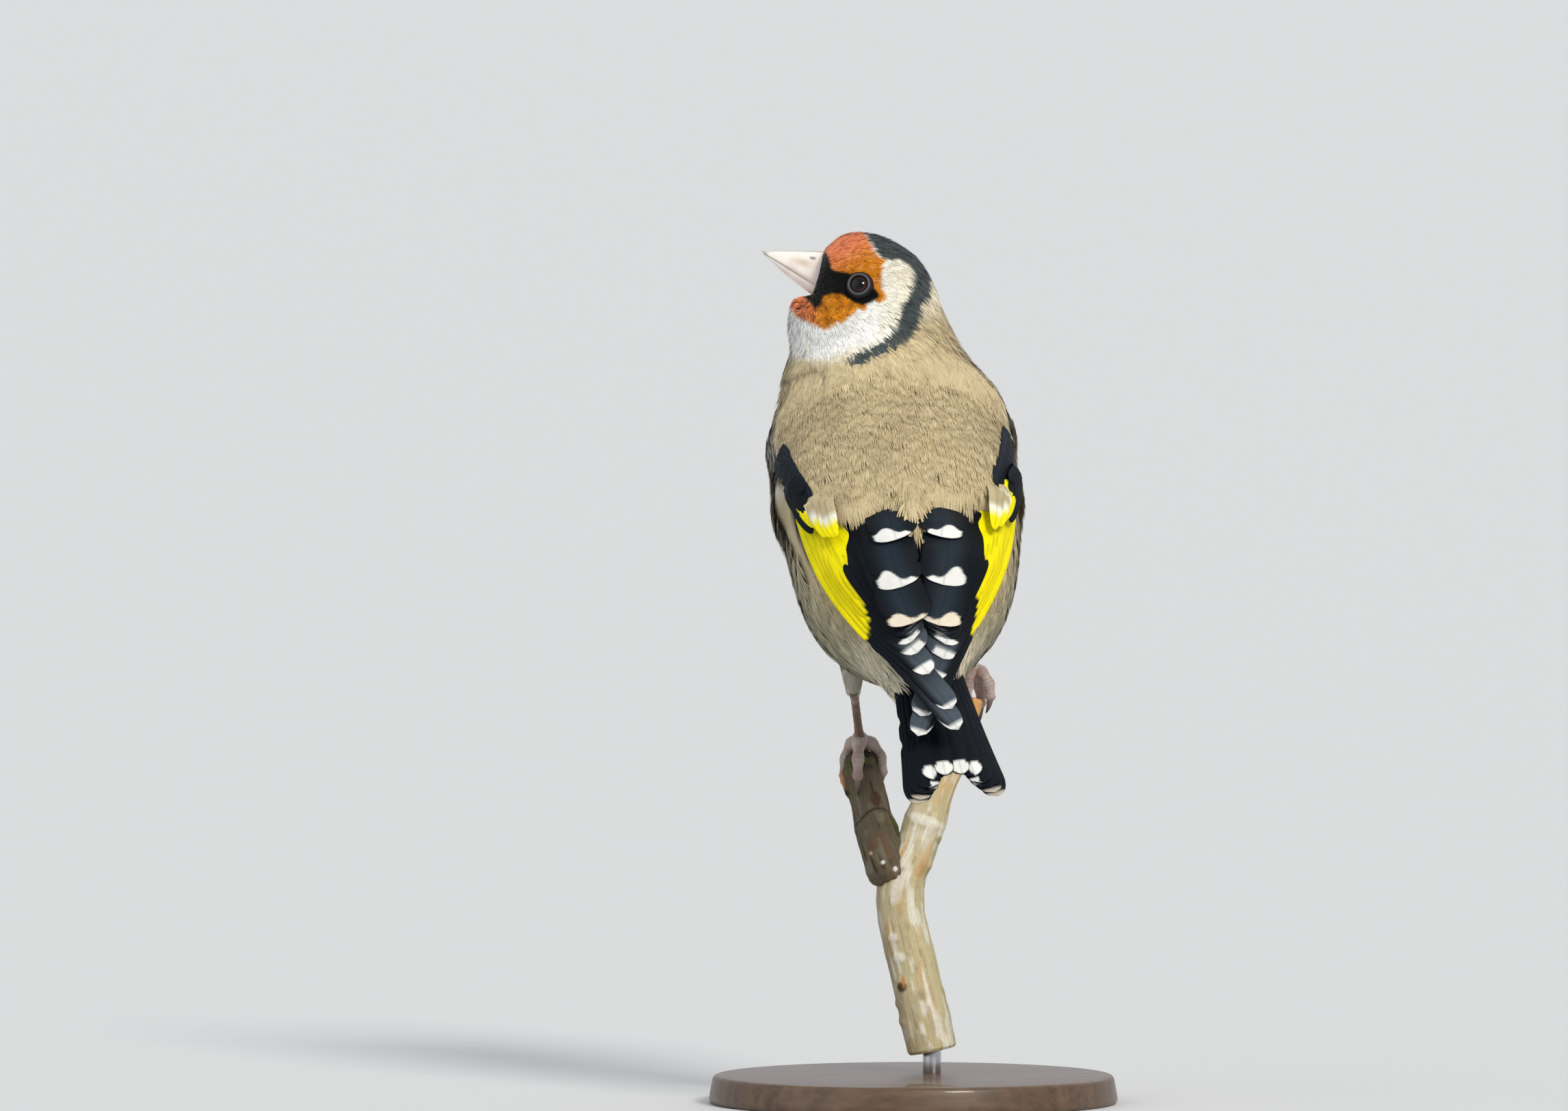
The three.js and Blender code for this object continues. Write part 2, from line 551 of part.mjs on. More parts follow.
for (const [name, leg] of Object.entries(LEGS)) {
  const thigh = along([leg.knee, leg.knee.clone().lerp(leg.ankle, 0.5), leg.ankle]);
  const thighRadius = (t) => lerp(...leg.shank, t ** 0.7);
  const thighCleared = tube(thigh, (t) => thighRadius(t) + GAP, 6, 12);
  const top = name === "left" ? leg.ankle : HIDDEN_ANKLE;
  const shin = along([top, top.clone().lerp(leg.foot, 0.5), leg.foot]);
  const lower = tube(shin, (t) => 0.8 + 0.35 * (2 * t - 1) ** 4, 8, 8);
  const toe = (i, more) =>
    tube(
      toePath(leg, leg.toes[i], 0, TOE.turn, TOE_LENGTHS[i]),
      (t) => lerp(TOE.thick, TOE.thin, t) + 0.1 * Math.cos(18 * t) + more,
      8,
      6,
    );
  const toes = TOE_LENGTHS.map((_, i) => toe(i, 0));
  const footCleared = [ball(leg.foot, KNUCKLE + GAP), toe(0, GAP + 0.1), ball(leg.ankle, leg.shank[1] + GAP)];
  addNode(`shank_${name}`, cut(tube(thigh, thighRadius, 6, 12), cleared), BUFF);
  addNode(`tarsus_${name}`, cut(lower, cleared, thighCleared, ...footCleared), SKIN);
  addNode(`foot_${name}`, cut(joined([ball(leg.foot, KNUCKLE), ...toes]), stubCleared, branchCleared), SKIN);
  TOE_LENGTHS.forEach((scale, i) => {
    const path = toePath(leg, leg.toes[i], TOE.turn + 5, TOE.turn + TOE.claw, scale);
    const claw = tube(path, (t) => lerp(0.5, 0.08, t), 4, 5);
    addNode(`claw_${name}_${i + 1}`, cut(claw, stubCleared, branchCleared), CLAW);
  });
}

// The stand: a round base and a short rod up to the twig's cut end.
const BASE = { radius: 36, height: 5 };
const ROD = { radius: 1.6 };
const base = new THREE.CylinderGeometry(BASE.radius - 0.8, BASE.radius, BASE.height, 48);
base.rotateX(Math.PI / 2).translate(0, 0, BASE.height / 2);
const rodTop = STEM[0].z - 0.8;
const rodHeight = rodTop - BASE.height - GAP;
const rod = new THREE.CylinderGeometry(ROD.radius, ROD.radius, rodHeight, 20);
rod.rotateX(Math.PI / 2).translate(STEM[0].x, STEM[0].y, BASE.height + GAP + rodHeight / 2);
addNode("stand_base", solid(base), WOOD);
addNode("stand_rod", solid(rod), STEEL);
addNode("torso", torsoForm, BUFF);

export default group;
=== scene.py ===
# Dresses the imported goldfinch: skin, coat, flight feathers, bill, eyes, legs, twig and stand, in a studio.
# Lengths in this script are millimetres, as in the part's source, and meshes are scaled to metres.
import math
import bpy
import numpy as np
from mathutils import Matrix, Vector


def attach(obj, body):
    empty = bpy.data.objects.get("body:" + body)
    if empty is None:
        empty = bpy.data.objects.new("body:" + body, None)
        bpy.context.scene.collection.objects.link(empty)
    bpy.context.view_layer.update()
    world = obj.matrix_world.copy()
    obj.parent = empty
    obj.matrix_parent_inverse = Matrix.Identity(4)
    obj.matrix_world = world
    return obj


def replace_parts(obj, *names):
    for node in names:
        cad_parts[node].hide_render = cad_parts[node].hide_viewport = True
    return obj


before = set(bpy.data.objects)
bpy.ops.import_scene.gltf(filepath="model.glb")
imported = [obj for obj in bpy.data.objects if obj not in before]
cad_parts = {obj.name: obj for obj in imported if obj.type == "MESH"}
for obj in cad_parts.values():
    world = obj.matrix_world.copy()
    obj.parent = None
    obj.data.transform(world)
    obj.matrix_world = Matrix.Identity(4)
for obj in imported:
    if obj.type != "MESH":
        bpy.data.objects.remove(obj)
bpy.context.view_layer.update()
MM = 0.001


# The bird's frames and masses, as in the source
def turned(axis, degrees):
    return np.array(Matrix.Rotation(math.radians(degrees), 3, Vector(axis)))


class Frame:
    """A place with forward, left and up axes."""

    def __init__(self, at, pitch, turn, lean):
        turn_all = turned((0, 1, 0), -lean) @ turned((0, 0, 1), turn) @ turned((1, 0, 0), pitch)
        self.at = np.array(at, float)
        self.axes = np.stack([turn_all @ v for v in ((0, 1, 0), (-1, 0, 0), (0, 0, 1))])

    def place(self, forward, left, up):
        parts = np.stack(np.broadcast_arrays(forward, left, up), -1).astype(float)
        return self.at + parts @ self.axes

    def local(self, points):
        return (points - self.at) @ self.axes.T


trunk = Frame((-2.65, 0, 104.5), 47, 6, 3)
head = Frame((-6.3, 12, 142.7), 20, 78, 0)
tail_frame = Frame(trunk.place(-28, 0, 0), 0, 0, 0)
swing = np.array(Matrix.Rotation(math.radians(4), 3, Vector(trunk.axes[2])))
tail_frame.axes = np.stack([swing @ trunk.axes[0], swing @ trunk.axes[1], trunk.axes[2]])

TRUNK_MASSES = [
    ((-2, 0, 0), (33, 21.6, 18.2)),
    ((19, -0.8, 1), (14, 21.2, 14.5)),
    ((-17, 0.8, -5), (17, 16.4, 12)),
    ((-33, 0, -1.5), (15, 7.5, 5)),
]
HEAD_MASSES = [
    ((-0.2, 0, -0.2), (10, 8.7, 8.8)),
    ((4.6, 0, 0.4), (6.2, 6, 6)),
    ((3.7, 0, -8.9), (9.7, 8.6, 7.9)),
    ((-4.9, 0, -13.2), (13.6, 12.5, 13.4)),
]
SOFTEN = 7
BILL_HOLLOW = ((15.5, 0, -0.9), (7.2, 9, 4.8))
GAPE_HOLLOWS = [((13, side * 4.4, -3.9), (4.6, 2.9, 3.3)) for side in (1, -1)]
HOLLOW_SOFTEN = 1.6


def ellipsoid(place_frame, at, half):
    """An ellipsoid's field: about the distance from its surface, below zero inside."""
    centre = place_frame.place(*at)
    half = np.array(half, float)

    def field(p):
        q = (p - centre) @ place_frame.axes.T / half
        near = np.linalg.norm(q, axis=-1)
        return near * (near - 1) / np.maximum(np.linalg.norm(q / half, axis=-1), 1e-9)

    return field


def blended(masses, soften=SOFTEN):
    """The union of some masses' fields, with the creases between them filled."""
    def field(p):
        value = masses[0](p)
        for mass in masses[1:]:
            other = mass(p)
            h = np.maximum(soften - np.abs(value - other), 0) / soften
            value = np.minimum(value, other) - h * h * soften / 4
        return value

    return field


trunk_fields = [ellipsoid(trunk, *m) for m in TRUNK_MASSES]
head_fields = [ellipsoid(head, *m) for m in HEAD_MASSES]
whole = blended(trunk_fields + head_fields)
hollows = [ellipsoid(head, *hollow) for hollow in (BILL_HOLLOW, *GAPE_HOLLOWS)]
hollowed = blended([lambda p: -whole(p), *hollows], HOLLOW_SOFTEN)


def plumage(p):
    return -hollowed(p)


wing_bed = blended([trunk_fields[0], trunk_fields[1], ellipsoid(trunk, (-30, 0, 0.5), (32, 15, 6.5))])


SLOPE_STEP = 0.05


def outward(field, p):
    """The way out of a field's surface at each point."""
    steps = SLOPE_STEP * np.eye(3)
    slope = [field(p + step) - field(p - step) for step in steps]
    return unit(np.stack(slope, -1))


def lay(field, p, level, steps=3):
    """Points moved in or out until they lie level millimetres off a field's surface."""
    for _ in range(steps):
        p = p + outward(field, p) * (level - field(p))[..., None]
    return p


def reach(field, start, direction, level, most=60.0):
    """Where rays from inside a field first come level millimetres off its surface."""
    start, direction = np.broadcast_arrays(start, direction)
    near = np.zeros(start.shape[:-1])
    far = np.full(start.shape[:-1], most)
    for _ in range(24):
        middle = (near + far) / 2
        inside = field(start + direction * middle[..., None]) < level
        near = np.where(inside, middle, near)
        far = np.where(inside, far, middle)
    return start + direction * near[..., None]


def smooth(x, low, high):
    """0 below low and 1 above high, with a soft step between."""
    t = np.clip((x - low) / (high - low), 0, 1)
    return t * t * (3 - 2 * t)


def unit(v):
    return v / np.maximum(np.linalg.norm(v, axis=-1, keepdims=True), 1e-9)


def srgb(*rgb):
    """A colour given as 0 to 255, as the linear values that shaders take."""
    c = np.array(rgb, float) / 255
    return np.where(c <= 0.04045, c / 12.92, ((c + 0.055) / 1.055) ** 2.4)


def wobble(p, size, seed=0.0):
    """A smooth seeded ripple in space, about -1 to 1."""
    q = np.asarray(p) / size + seed
    a = np.sin(q[..., 0] * 1.7 + 1.3 * np.sin(q[..., 1] * 1.1 + seed) + seed)
    b = np.sin(q[..., 1] * 1.9 + 1.7 * np.sin(q[..., 2] * 1.3) + 2 * seed)
    c = np.sin(q[..., 2] * 1.5 + 1.1 * np.sin(q[..., 0] * 1.9) + 3 * seed)
    return (a + b + c) / 3


# Meshes
def new_mesh(name, points, faces, colours=None, uv=None, material=None, slot=None, extra=None):
    """A mesh object in the model's frame. faces is an array of triangles or of quads, or a list of them."""
    groups = [np.asarray(f, np.int32) for f in (faces if isinstance(faces, list) else [faces]) if len(f)]
    mesh = bpy.data.meshes.new(name)
    points = np.asarray(points, np.float32) * MM
    loops = np.concatenate([g.ravel() for g in groups])
    sizes = np.concatenate([np.full(len(g), g.shape[1], np.int32) for g in groups])
    starts = np.concatenate([[0], np.cumsum(sizes)[:-1]]).astype(np.int32)
    mesh.vertices.add(len(points))
    mesh.vertices.foreach_set("co", points.ravel())
    mesh.loops.add(len(loops))
    mesh.loops.foreach_set("vertex_index", loops)
    mesh.polygons.add(len(sizes))
    mesh.polygons.foreach_set("loop_start", starts)
    mesh.polygons.foreach_set("loop_total", sizes)
    mesh.polygons.foreach_set("use_smooth", np.ones(len(sizes), bool))
    if uv is not None:
        layer = mesh.uv_layers.new(name="OFBake")
        layer.data.foreach_set("uv", np.asarray(uv, np.float32)[loops].ravel())
    if colours is not None:
        layer = mesh.color_attributes.new("tint", "FLOAT_COLOR", "POINT")
        rgba = np.concatenate([np.clip(colours, 0, 1), np.ones((len(colours), 1))], 1)
        layer.data.foreach_set("color", rgba.astype(np.float32).ravel())
    for key, values in (extra or {}).items():
        mesh.attributes.new(key, "FLOAT", "POINT").data.foreach_set("value", np.asarray(values, np.float32))
    mesh.update(calc_edges=True)
    mesh.validate()
    obj = bpy.data.objects.new(name, mesh)
    bpy.context.scene.collection.objects.link(obj)
    if material:
        mesh.materials.append(material)
    if slot:
        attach(obj, "root")
    return obj


def inset(uv):
    """An unwrap that fills its square, drawn in by a small margin."""
    return np.asarray(uv) * 0.98 + 0.01


def fan(first, count, middle, under=False):
    """Triangles from the edges of a ring of points to one point, the other way round where under is set."""
    ring = first + np.arange(count)
    edges = [np.roll(ring, -1), ring] if under else [ring, np.roll(ring, -1)]
    return np.stack([*edges, np.full(count, middle)], -1)


def grid_faces(rows, columns, start=0, wrap=False):
    i, k = np.meshgrid(np.arange(rows - 1), np.arange(columns if wrap else columns - 1), indexing="ij")
    a = start + i * columns + k
    b = start + i * columns + (k + 1) % columns
    return np.stack([a, b, b + columns, a + columns], -1).reshape(-1, 4)


# Materials
class Nodes:
    """A material's node tree, with short calls to add and join nodes."""

    def __init__(self, name, roughness=0.8, specular=0.3, sheen=0.0, coat=0.0):
        self.material = bpy.data.materials.new(name)
        self.material.use_nodes = True
        self.tree = self.material.node_tree
        self.shader = self.tree.nodes["Principled BSDF"]
        self.shader.inputs["Roughness"].default_value = roughness
        self.shader.inputs["Specular IOR Level"].default_value = specular
        self.shader.inputs["Sheen Weight"].default_value = sheen
        self.shader.inputs["Coat Weight"].default_value = coat

    def add(self, kind, inputs=None, **settings):
        node = self.tree.nodes.new(kind)
        for key, value in settings.items():
            setattr(node, key, value)
        for key, value in (inputs or {}).items():
            if isinstance(value, bpy.types.NodeSocket):
                self.tree.links.new(value, node.inputs[key])
            else:
                node.inputs[key].default_value = value
        return node

    def noise(self, scale, detail=3.0, stretch=None, where="Object"):
        source = self.add("ShaderNodeTexCoord").outputs[where]
        if stretch:
            source = self.add("ShaderNodeMapping", {"Vector": source, "Scale": stretch}).outputs[0]
        inputs = {"Vector": source, "Scale": scale, "Detail": detail}
        return self.add("ShaderNodeTexNoise", inputs).outputs["Fac"]

    def ramp(self, value, *stops):
        node = self.add("ShaderNodeValToRGB", {"Fac": value})
        elements = node.color_ramp.elements
        while len(elements) < len(stops):
            elements.new(0.5)
        for element, (at, colour) in zip(elements, stops):
            element.position = at
            element.color = (*colour, 1)
        return node.outputs["Color"]

    def mix(self, factor, a, b, blend="MIX"):
        node = self.add("ShaderNodeMix", data_type="RGBA", blend_type=blend)
        for socket, value in ((0, factor), (6, a), (7, b)):
            if isinstance(value, bpy.types.NodeSocket):
                self.tree.links.new(value, node.inputs[socket])
            else:
                node.inputs[socket].default_value = value if socket == 0 else (*value, 1)
        return node.outputs[2]

    def tint(self, name="tint"):
        return self.add("ShaderNodeAttribute", attribute_name=name).outputs["Color"]

    def value(self, name):
        return self.add("ShaderNodeAttribute", attribute_name=name).outputs["Fac"]

    def colour(self, socket):
        self.tree.links.new(socket, self.shader.inputs["Base Color"])

    def rough(self, value, low, high):
        mapped = self.add("ShaderNodeMapRange", {"Value": value, "To Min": low, "To Max": high})
        self.tree.links.new(mapped.outputs[0], self.shader.inputs["Roughness"])

    def bump(self, height, strength, distance):
        node = self.add("ShaderNodeBump", {"Height": height, "Strength": strength, "Distance": distance})
        self.tree.links.new(node.outputs[0], self.shader.inputs["Normal"])


def coat_material(name):
    m = Nodes(name, roughness=0.85, specular=0.08, sheen=0.12)
    m.shader.inputs["Sheen Roughness"].default_value = 0.5
    mottle = m.ramp(m.noise(260, 4), (0.3, (0.9, 0.9, 0.91)), (0.7, (1.0, 1.0, 1.0)))
    m.colour(m.mix(1.0, m.tint(), mottle, "MULTIPLY"))
    m.rough(m.noise(900, 2), 0.72, 0.9)
    return m.material


def VANE_MATerial(name):
    """Feather vanes: fine barbs run out from the shaft, and the black has a faint satin gloss."""
    m = Nodes(name, roughness=0.55, specular=0.1)
    barb = m.value("barb")
    wave = m.add("ShaderNodeMath", {0: barb, 1: 6.2832}, operation="MULTIPLY").outputs[0]
    ripple = m.add("ShaderNodeMath", {0: wave}, operation="SINE").outputs[0]
    lines = m.add("ShaderNodeMapRange", {"Value": ripple, "From Min": -1.0, "From Max": 1.0}).outputs[0]
    shade = m.ramp(lines, (0.0, (0.84, 0.85, 0.87)), (1.0, (1.0, 1.0, 1.0)))
    patch = m.ramp(m.noise(420, 3), (0.3, (0.85, 0.86, 0.88)), (0.75, (1.0, 1.0, 1.0)))
    m.colour(m.mix(1.0, m.mix(1.0, m.tint(), shade, "MULTIPLY"), patch, "MULTIPLY"))
    m.rough(m.noise(700, 3), 0.42, 0.62)
    m.bump(lines, 0.35, 0.00012)
    return m.material


COAT_MAT = coat_material("plumage_coat")
VANE_MAT = VANE_MATerial("flight_feather_vane")


# Markings
RED = srgb(250, 148, 96)
ORANGE = srgb(222, 142, 26)
WHITE = srgb(250, 250, 244)
CREAM = srgb(242, 232, 206)
INK = srgb(72, 80, 79)
LORE = srgb(12, 12, 13)
TAN = srgb(200, 182, 142)
UMBER = srgb(168, 148, 112)
FLANK = srgb(166, 153, 120)
PALE = srgb(204, 197, 168)
# Painted shade for the low belly; its green is a painted reflection of green surroundings.
PAINTED_BELLY_SHADE = srgb(150, 147, 116)
STREAK_DARK, STREAK_PALE = srgb(112, 98, 76), srgb(206, 200, 180)
RED_TIPS, RED_LIGHT, RED_DARK = srgb(222, 140, 104), srgb(250, 170, 120), srgb(168, 70, 20)
CHIN_DARK, CHIN_LIGHT = srgb(140, 66, 12), srgb(240, 170, 60)
YELLOW = srgb(255, 240, 2)
GOLD = srgb(240, 214, 0)
JET = srgb(8, 13, 18)
# SLATE is the grey-blue of the painted sheen on the black vanes, and of their greyer edges.
SLATE = srgb(38, 50, 60)
STEEL = srgb(92, 103, 113)
SPOT = srgb(240, 238, 230)
BUFF_SPOT = srgb(236, 222, 198)
TAIL_INK = srgb(5, 12, 20)

# Outlines of the face's patches seen from its side: millimetres towards the bill and up from the
# head's middle, across the picture plane of a viewer square to the body's back.
FOREHEAD = [(11.5, 8.5), (8.4, 11), (3, 12.4), (2.3, 10.1), (1.1, 8.4), (0.3, 7), (-0.4, 6.2), (-1.6, 5.6),
            (-1, 4.6), (-0.7, 3.1), (-0.8, 1.5), (-0.5, -0.5), (0.6, 0.8), (1.5, 2.2), (2.6, 2.8),
            (4.3, 3.2), (6.4, 3.6), (8.1, 4.1), (8.6, 5.7), (9, 6.8)]
LORES = [(10.2, 7.2), (9, 6.8), (8.6, 5.7), (8.1, 4.1), (6.4, 3.6), (4.3, 3.2), (2.6, 2.8), (1.5, 2.2),
         (0.6, 0.8), (-0.4, -0.7), (1, -1.5), (2.6, -2.2), (4, -1.9), (6.3, -0.4), (8.2, -0.1), (9.6, -0.7),
         (10.2, -2.4), (11, -2.9), (13.2, -0.3), (13, 4)]
CHIN = [(14, 0.2), (13.2, -0.3), (11, -2.9), (10.2, -2.4), (9.6, -0.7), (8.2, -0.1), (6.3, -0.4), (4, -1.9),
        (3.3, -2.6), (4, -3.6), (5.8, -5.1), (7.6, -5.8), (9.3, -6.4), (11.3, -5.8), (13.1, -5.1),
        (14.8, -4), (15.4, -2.6)]
NAPE_BAND = [(2.6, 12.4), (2.3, 10.1), (1.1, 8.4), (0.3, 7), (-0.4, 6.2), (-1.8, 5.6), (-3.6, 6),
             (-5.3, 5.1), (-6.3, 3.4), (-6.1, 1.1), (-5.3, -0.7), (-4.3, -2.5), (-4, -4.2), (-3, -6.2),
             (-1.5, -8.3), (0.3, -9.8), (2.9, -11.3), (5.4, -12.4), (5.7, -13.3), (3.4, -13.5),
             (0.2, -12.2), (-2.4, -10.9), (-4.7, -9.2), (-7.1, -6.6), (-8, -4.2), (-9, -1.3), (-9.4, 1),
             (-9.6, 2.6), (-13, 3), (-13, 8), (-6, 13)]
BEHIND_BAND = [(5.5, -13.2), (0.2, -11.9), (-4.7, -9.2), (-8, -4.2), (-9.4, 1), (-9.6, 2.6), (-30, 3),
               (-30, -40), (12, -40)]


def signed_distance(points, outline):
    """Distance in millimetres from an outline in a plane, below zero inside it."""
    a = np.array(outline, float)
    b = np.roll(a, -1, axis=0)
    best = np.full(len(points), 1e9)
    inside = np.zeros(len(points), bool)
    for p, q in zip(a, b):
        edge, rel = q - p, points - p
        t = np.clip((rel @ edge) / (edge @ edge), 0, 1)
        best = np.minimum(best, np.linalg.norm(rel - t[:, None] * edge, axis=1))
        crosses = (p[1] > points[:, 1]) != (q[1] > points[:, 1])
        rise = q[1] - p[1] if abs(q[1] - p[1]) > 1e-9 else 1e-9
        at = p[0] + (points[:, 1] - p[1]) * (q[0] - p[0]) / rise
        inside ^= crosses & (points[:, 0] < at)
    return np.where(inside, -best, best)


def profile(points):
    """Head points mirrored to its left side and seen along +Y: towards the bill and up."""
    q = head.local(points)
    q[:, 1] = np.abs(q[:, 1])
    rel = q @ head.axes
    return np.stack([-rel[:, 0], rel[:, 2]], -1)


def blend_in(colour, target, weight):
    """A colour, or an array of them, moved towards another by a weight at each point."""
    return colour + (target - colour) * weight[..., None]


def body_colour(p):
    """The coat's colour at points on the body and neck."""
    q = trunk.local(p)
    along, left, up = q.T
    ripple = wobble(p, 4.0, 3.0)
    below = smooth(-up + 0.3 * np.abs(left), -2, 8)
    colour = blend_in(TAN, UMBER, 0.35 * smooth(ripple, -0.2, 0.9))
    colour = blend_in(colour, FLANK, below * 0.8)
    colour = blend_in(colour, PALE, below * smooth(-along, -4, 26) * 0.8)
    belly = smooth(-up, 9, 15)
    colour = blend_in(colour, WHITE * 0.93, belly * 0.85)
    side = smooth(np.abs(left), 19, 21) * smooth(along, -1, 6) * smooth(9 - up, 0, 3)
    colour = blend_in(colour, WHITE * 0.9, 0.6 * side)
    a, b = profile(p).T
    # Painted shade: a dark line in the crease where the cheek's ruff lies over the left shoulder, darkening
    # the coat by half.
    ridge = np.interp(a, [7, 9.8, 17, 19], [-14.0, -14.5, -15.9, -16.2])
    crease_shade = np.exp(-((b - ridge) / 0.45) ** 2) * smooth(a, 8.8, 9.8)
    crease_shade = np.maximum(crease_shade, np.exp(-((a - 9.7) / 0.4) ** 2) * smooth(b, -19, -16) * smooth(-14 - b, 0, 0.6))
    colour = colour * (1 - 0.5 * crease_shade)[:, None]
    # Painted shade: low down the belly darkens and turns greenish, as in shadow with green reflected light.
    low = smooth(94 - p[:, 2], 0, 14) * smooth(-along, 4, 12)
    colour = blend_in(colour, PAINTED_BELLY_SHADE, 0.6 * low)
    streak = wobble(p @ trunk.axes.T * (0.35, 1, 1), 1.1, 6.0)
    below = below * (1 - 0.85 * belly)
    ahead_of_vent = smooth(30 + along, 0, 6)
    colour = blend_in(colour, STREAK_DARK, 0.4 * below * smooth(streak, 0.2, 0.8) * ahead_of_vent)
    colour = blend_in(colour, STREAK_PALE, 0.4 * below * smooth(-streak, 0.3, 0.8))
    rump = smooth(-along, 27, 36)
    colour = blend_in(colour, CREAM * 0.85, rump * 0.8)
    return colour


def near_patch(distance, near_lores):
    """A red patch's distance, with the thin gap between the patch and the dark lores closed."""
    return np.minimum(distance, np.maximum(distance - 1.2, near_lores))


def head_colour(p):
    flat = profile(p)
    along = flat[:, 0]
    shade = wobble(p, 1.6, 5.0)
    warm = smooth(-along, -3, 5)
    colour = blend_in(WHITE, CREAM, 0.75 * warm)
    colour = blend_in(colour, CREAM * 0.8, 0.25 * smooth(shade, 0.1, 0.9))
    collar = 10.5 + 0.33 * (along - 4)
    throat_end = smooth(-flat[:, 1], collar - 1.5, collar + 2.5)
    colour = blend_in(colour, TAN * 1.05, throat_end)
    behind = smooth(signed_distance(flat, BEHIND_BAND), 0.6, -0.6)
    nape = blend_in(CREAM, TAN, smooth(-flat[:, 1], 0, 7))
    colour = blend_in(colour, nape, behind)
    band = smooth(signed_distance(flat, NAPE_BAND) + 0.25 * shade, 0.35, -0.35)
    colour = blend_in(colour, INK, band)
    soft_red = blend_in(ORANGE, RED, smooth(flat[:, 1] + 0.6 * along, 6, 12))
    soft_red = blend_in(soft_red, RED_TIPS, 0.35 * smooth(shade, 0.0, 0.9))
    chin = blend_in(ORANGE, RED, smooth(along, 9, 14))
    fleck = wobble(p, 0.55, 2.0)
    soft_red = blend_in(soft_red, RED_LIGHT, 0.4 * smooth(fleck, 0.2, 0.9))
    soft_red = blend_in(soft_red, RED_DARK, 0.45 * smooth(-fleck, 0.25, 0.9))
    chin = blend_in(chin, CHIN_DARK, 0.6 * smooth(fleck, 0.1, 0.8))
    chin = blend_in(chin, CHIN_LIGHT, 0.4 * smooth(-fleck, 0.3, 0.9))
    lores = signed_distance(flat, LORES)
    near_lores = np.maximum(lores, 0) - 0.9
    brow = near_patch(signed_distance(flat, FOREHEAD), near_lores)
    colour = blend_in(colour, soft_red, smooth(brow + 0.3 * shade, 0.35, -0.35))
    bib = near_patch(signed_distance(flat, CHIN), near_lores)
    colour = blend_in(colour, chin, smooth(bib + 0.3 * shade, 0.35, -0.35))
    colour = blend_in(colour, LORE, smooth(lores + 0.2 * shade, 0.3, -0.3))
    return colour


def coat_colour(p):
    """Face markings on the head, fading to the body's colours below the cheeks and nape."""
    flat = profile(p)
    body = body_colour(p)
    on_head = smooth(flat[:, 1] - 0.28 * flat[:, 0], -17.5, -14.5)
    return blend_in(body, head_colour(p), on_head)


# Skin
SPINE = [trunk.place(-40, 0, -1), trunk.place(16, 0, -1), head.place(0.5, 0, -0.5)]
SKIN_DEPTH, FACE_DEPTH = 1.3, 0.3
MANTLE_RAISE = 3.2
bill_base = head.place(11.5, 0, -0.7)


def coat_depth(p):
    """How deep the coat lies over the skin: thin at the bill's root and round the eyes."""
    face = np.linalg.norm(p - bill_base, axis=-1)
    return FACE_DEPTH + (SKIN_DEPTH - FACE_DEPTH) * smooth(face, 3, 15)


def loft(p):
    """How far the coat stands off the trunk and skull, on the mantle, crown, nape and flank."""
    a, b = profile(p).T
    crown = np.maximum(smooth(b, 1.5, 6), smooth(-a, 5.5, 9) * smooth(b, -13, -6)) * smooth(b, -13, -6)
    along, left, up = trunk.local(p).T
    flank = smooth(np.abs(left), 15, 18.5) * smooth(up, -9, -3) * smooth(3.5 - up, 0, 3)
    flank = flank * smooth(along, -4, 3)
    off_bill = smooth(np.linalg.norm(p - bill_base, axis=-1), 4, 8)
    ruff = 1.1 * np.exp(-((b + 14) / 3.2) ** 2) * smooth(a, 9, 14)
    strip = 2.2 * np.exp(-((left - 0.2) / 1.5) ** 2) * smooth(-along, 7, 16) * smooth(up, 4, 8)
    return mantle(p) + 0.8 * crown * off_bill + 1.5 * flank * smooth(-along, -24, -17) + strip + ruff


def spine(t):
    t = np.asarray(t, float)[..., None]
    return (1 - t) ** 2 * SPINE[0] + 2 * t * (1 - t) * SPINE[1] + t * t * SPINE[2]


# How far out from the back's middle the mantle and the wrist end along the trunk, on the left and the right
MANTLE_EDGE = {1: ([-17, -14.8, -11.5, -7, -2.9, 2, 10, 16, 20],
                   [12.8, 16, 18, 19.1, 19.7, 20, 20.2, 19.6, 17]),
               -1: ([-17, -14.1, -9.8, -5.7, 1.4, 6, 16, 20], [11.2, 14.8, 16.4, 17.8, 18.8, 19.2, 19, 17])}
WRIST_EDGE = {1: ([-13.5, -3.7, 2.8, 8.1, 10.3], [18.5, 20.5, 21.4, 21.2, 20.4]),
              -1: ([-14.5, -11.6, -3.4, 2.7, 8], [16.4, 17.4, 18.9, 20, 19.8])}


def edge_at(edge, along, left):
    """How far out from the back's middle an edge of the wing or mantle lies, each side with its own."""
    return np.where(left > 0, np.interp(along, *edge[1]), np.interp(along, *edge[-1]))


def mantle(p):
    """How far the long back feathers lift the coat over the roots of the wings."""
    along, left, up = trunk.local(p).T
    on_back = smooth(up, 1, 6) * smooth(edge_at(MANTLE_EDGE, along, left) - np.abs(left), 0.1, 1.7)
    rear = -13.0 - 9.5 * np.exp(-((left - 0.2) / 1.6) ** 2)
    return MANTLE_RAISE * on_back * smooth(along - rear, -2.6, 0.6) * smooth(-along, -26, -14)


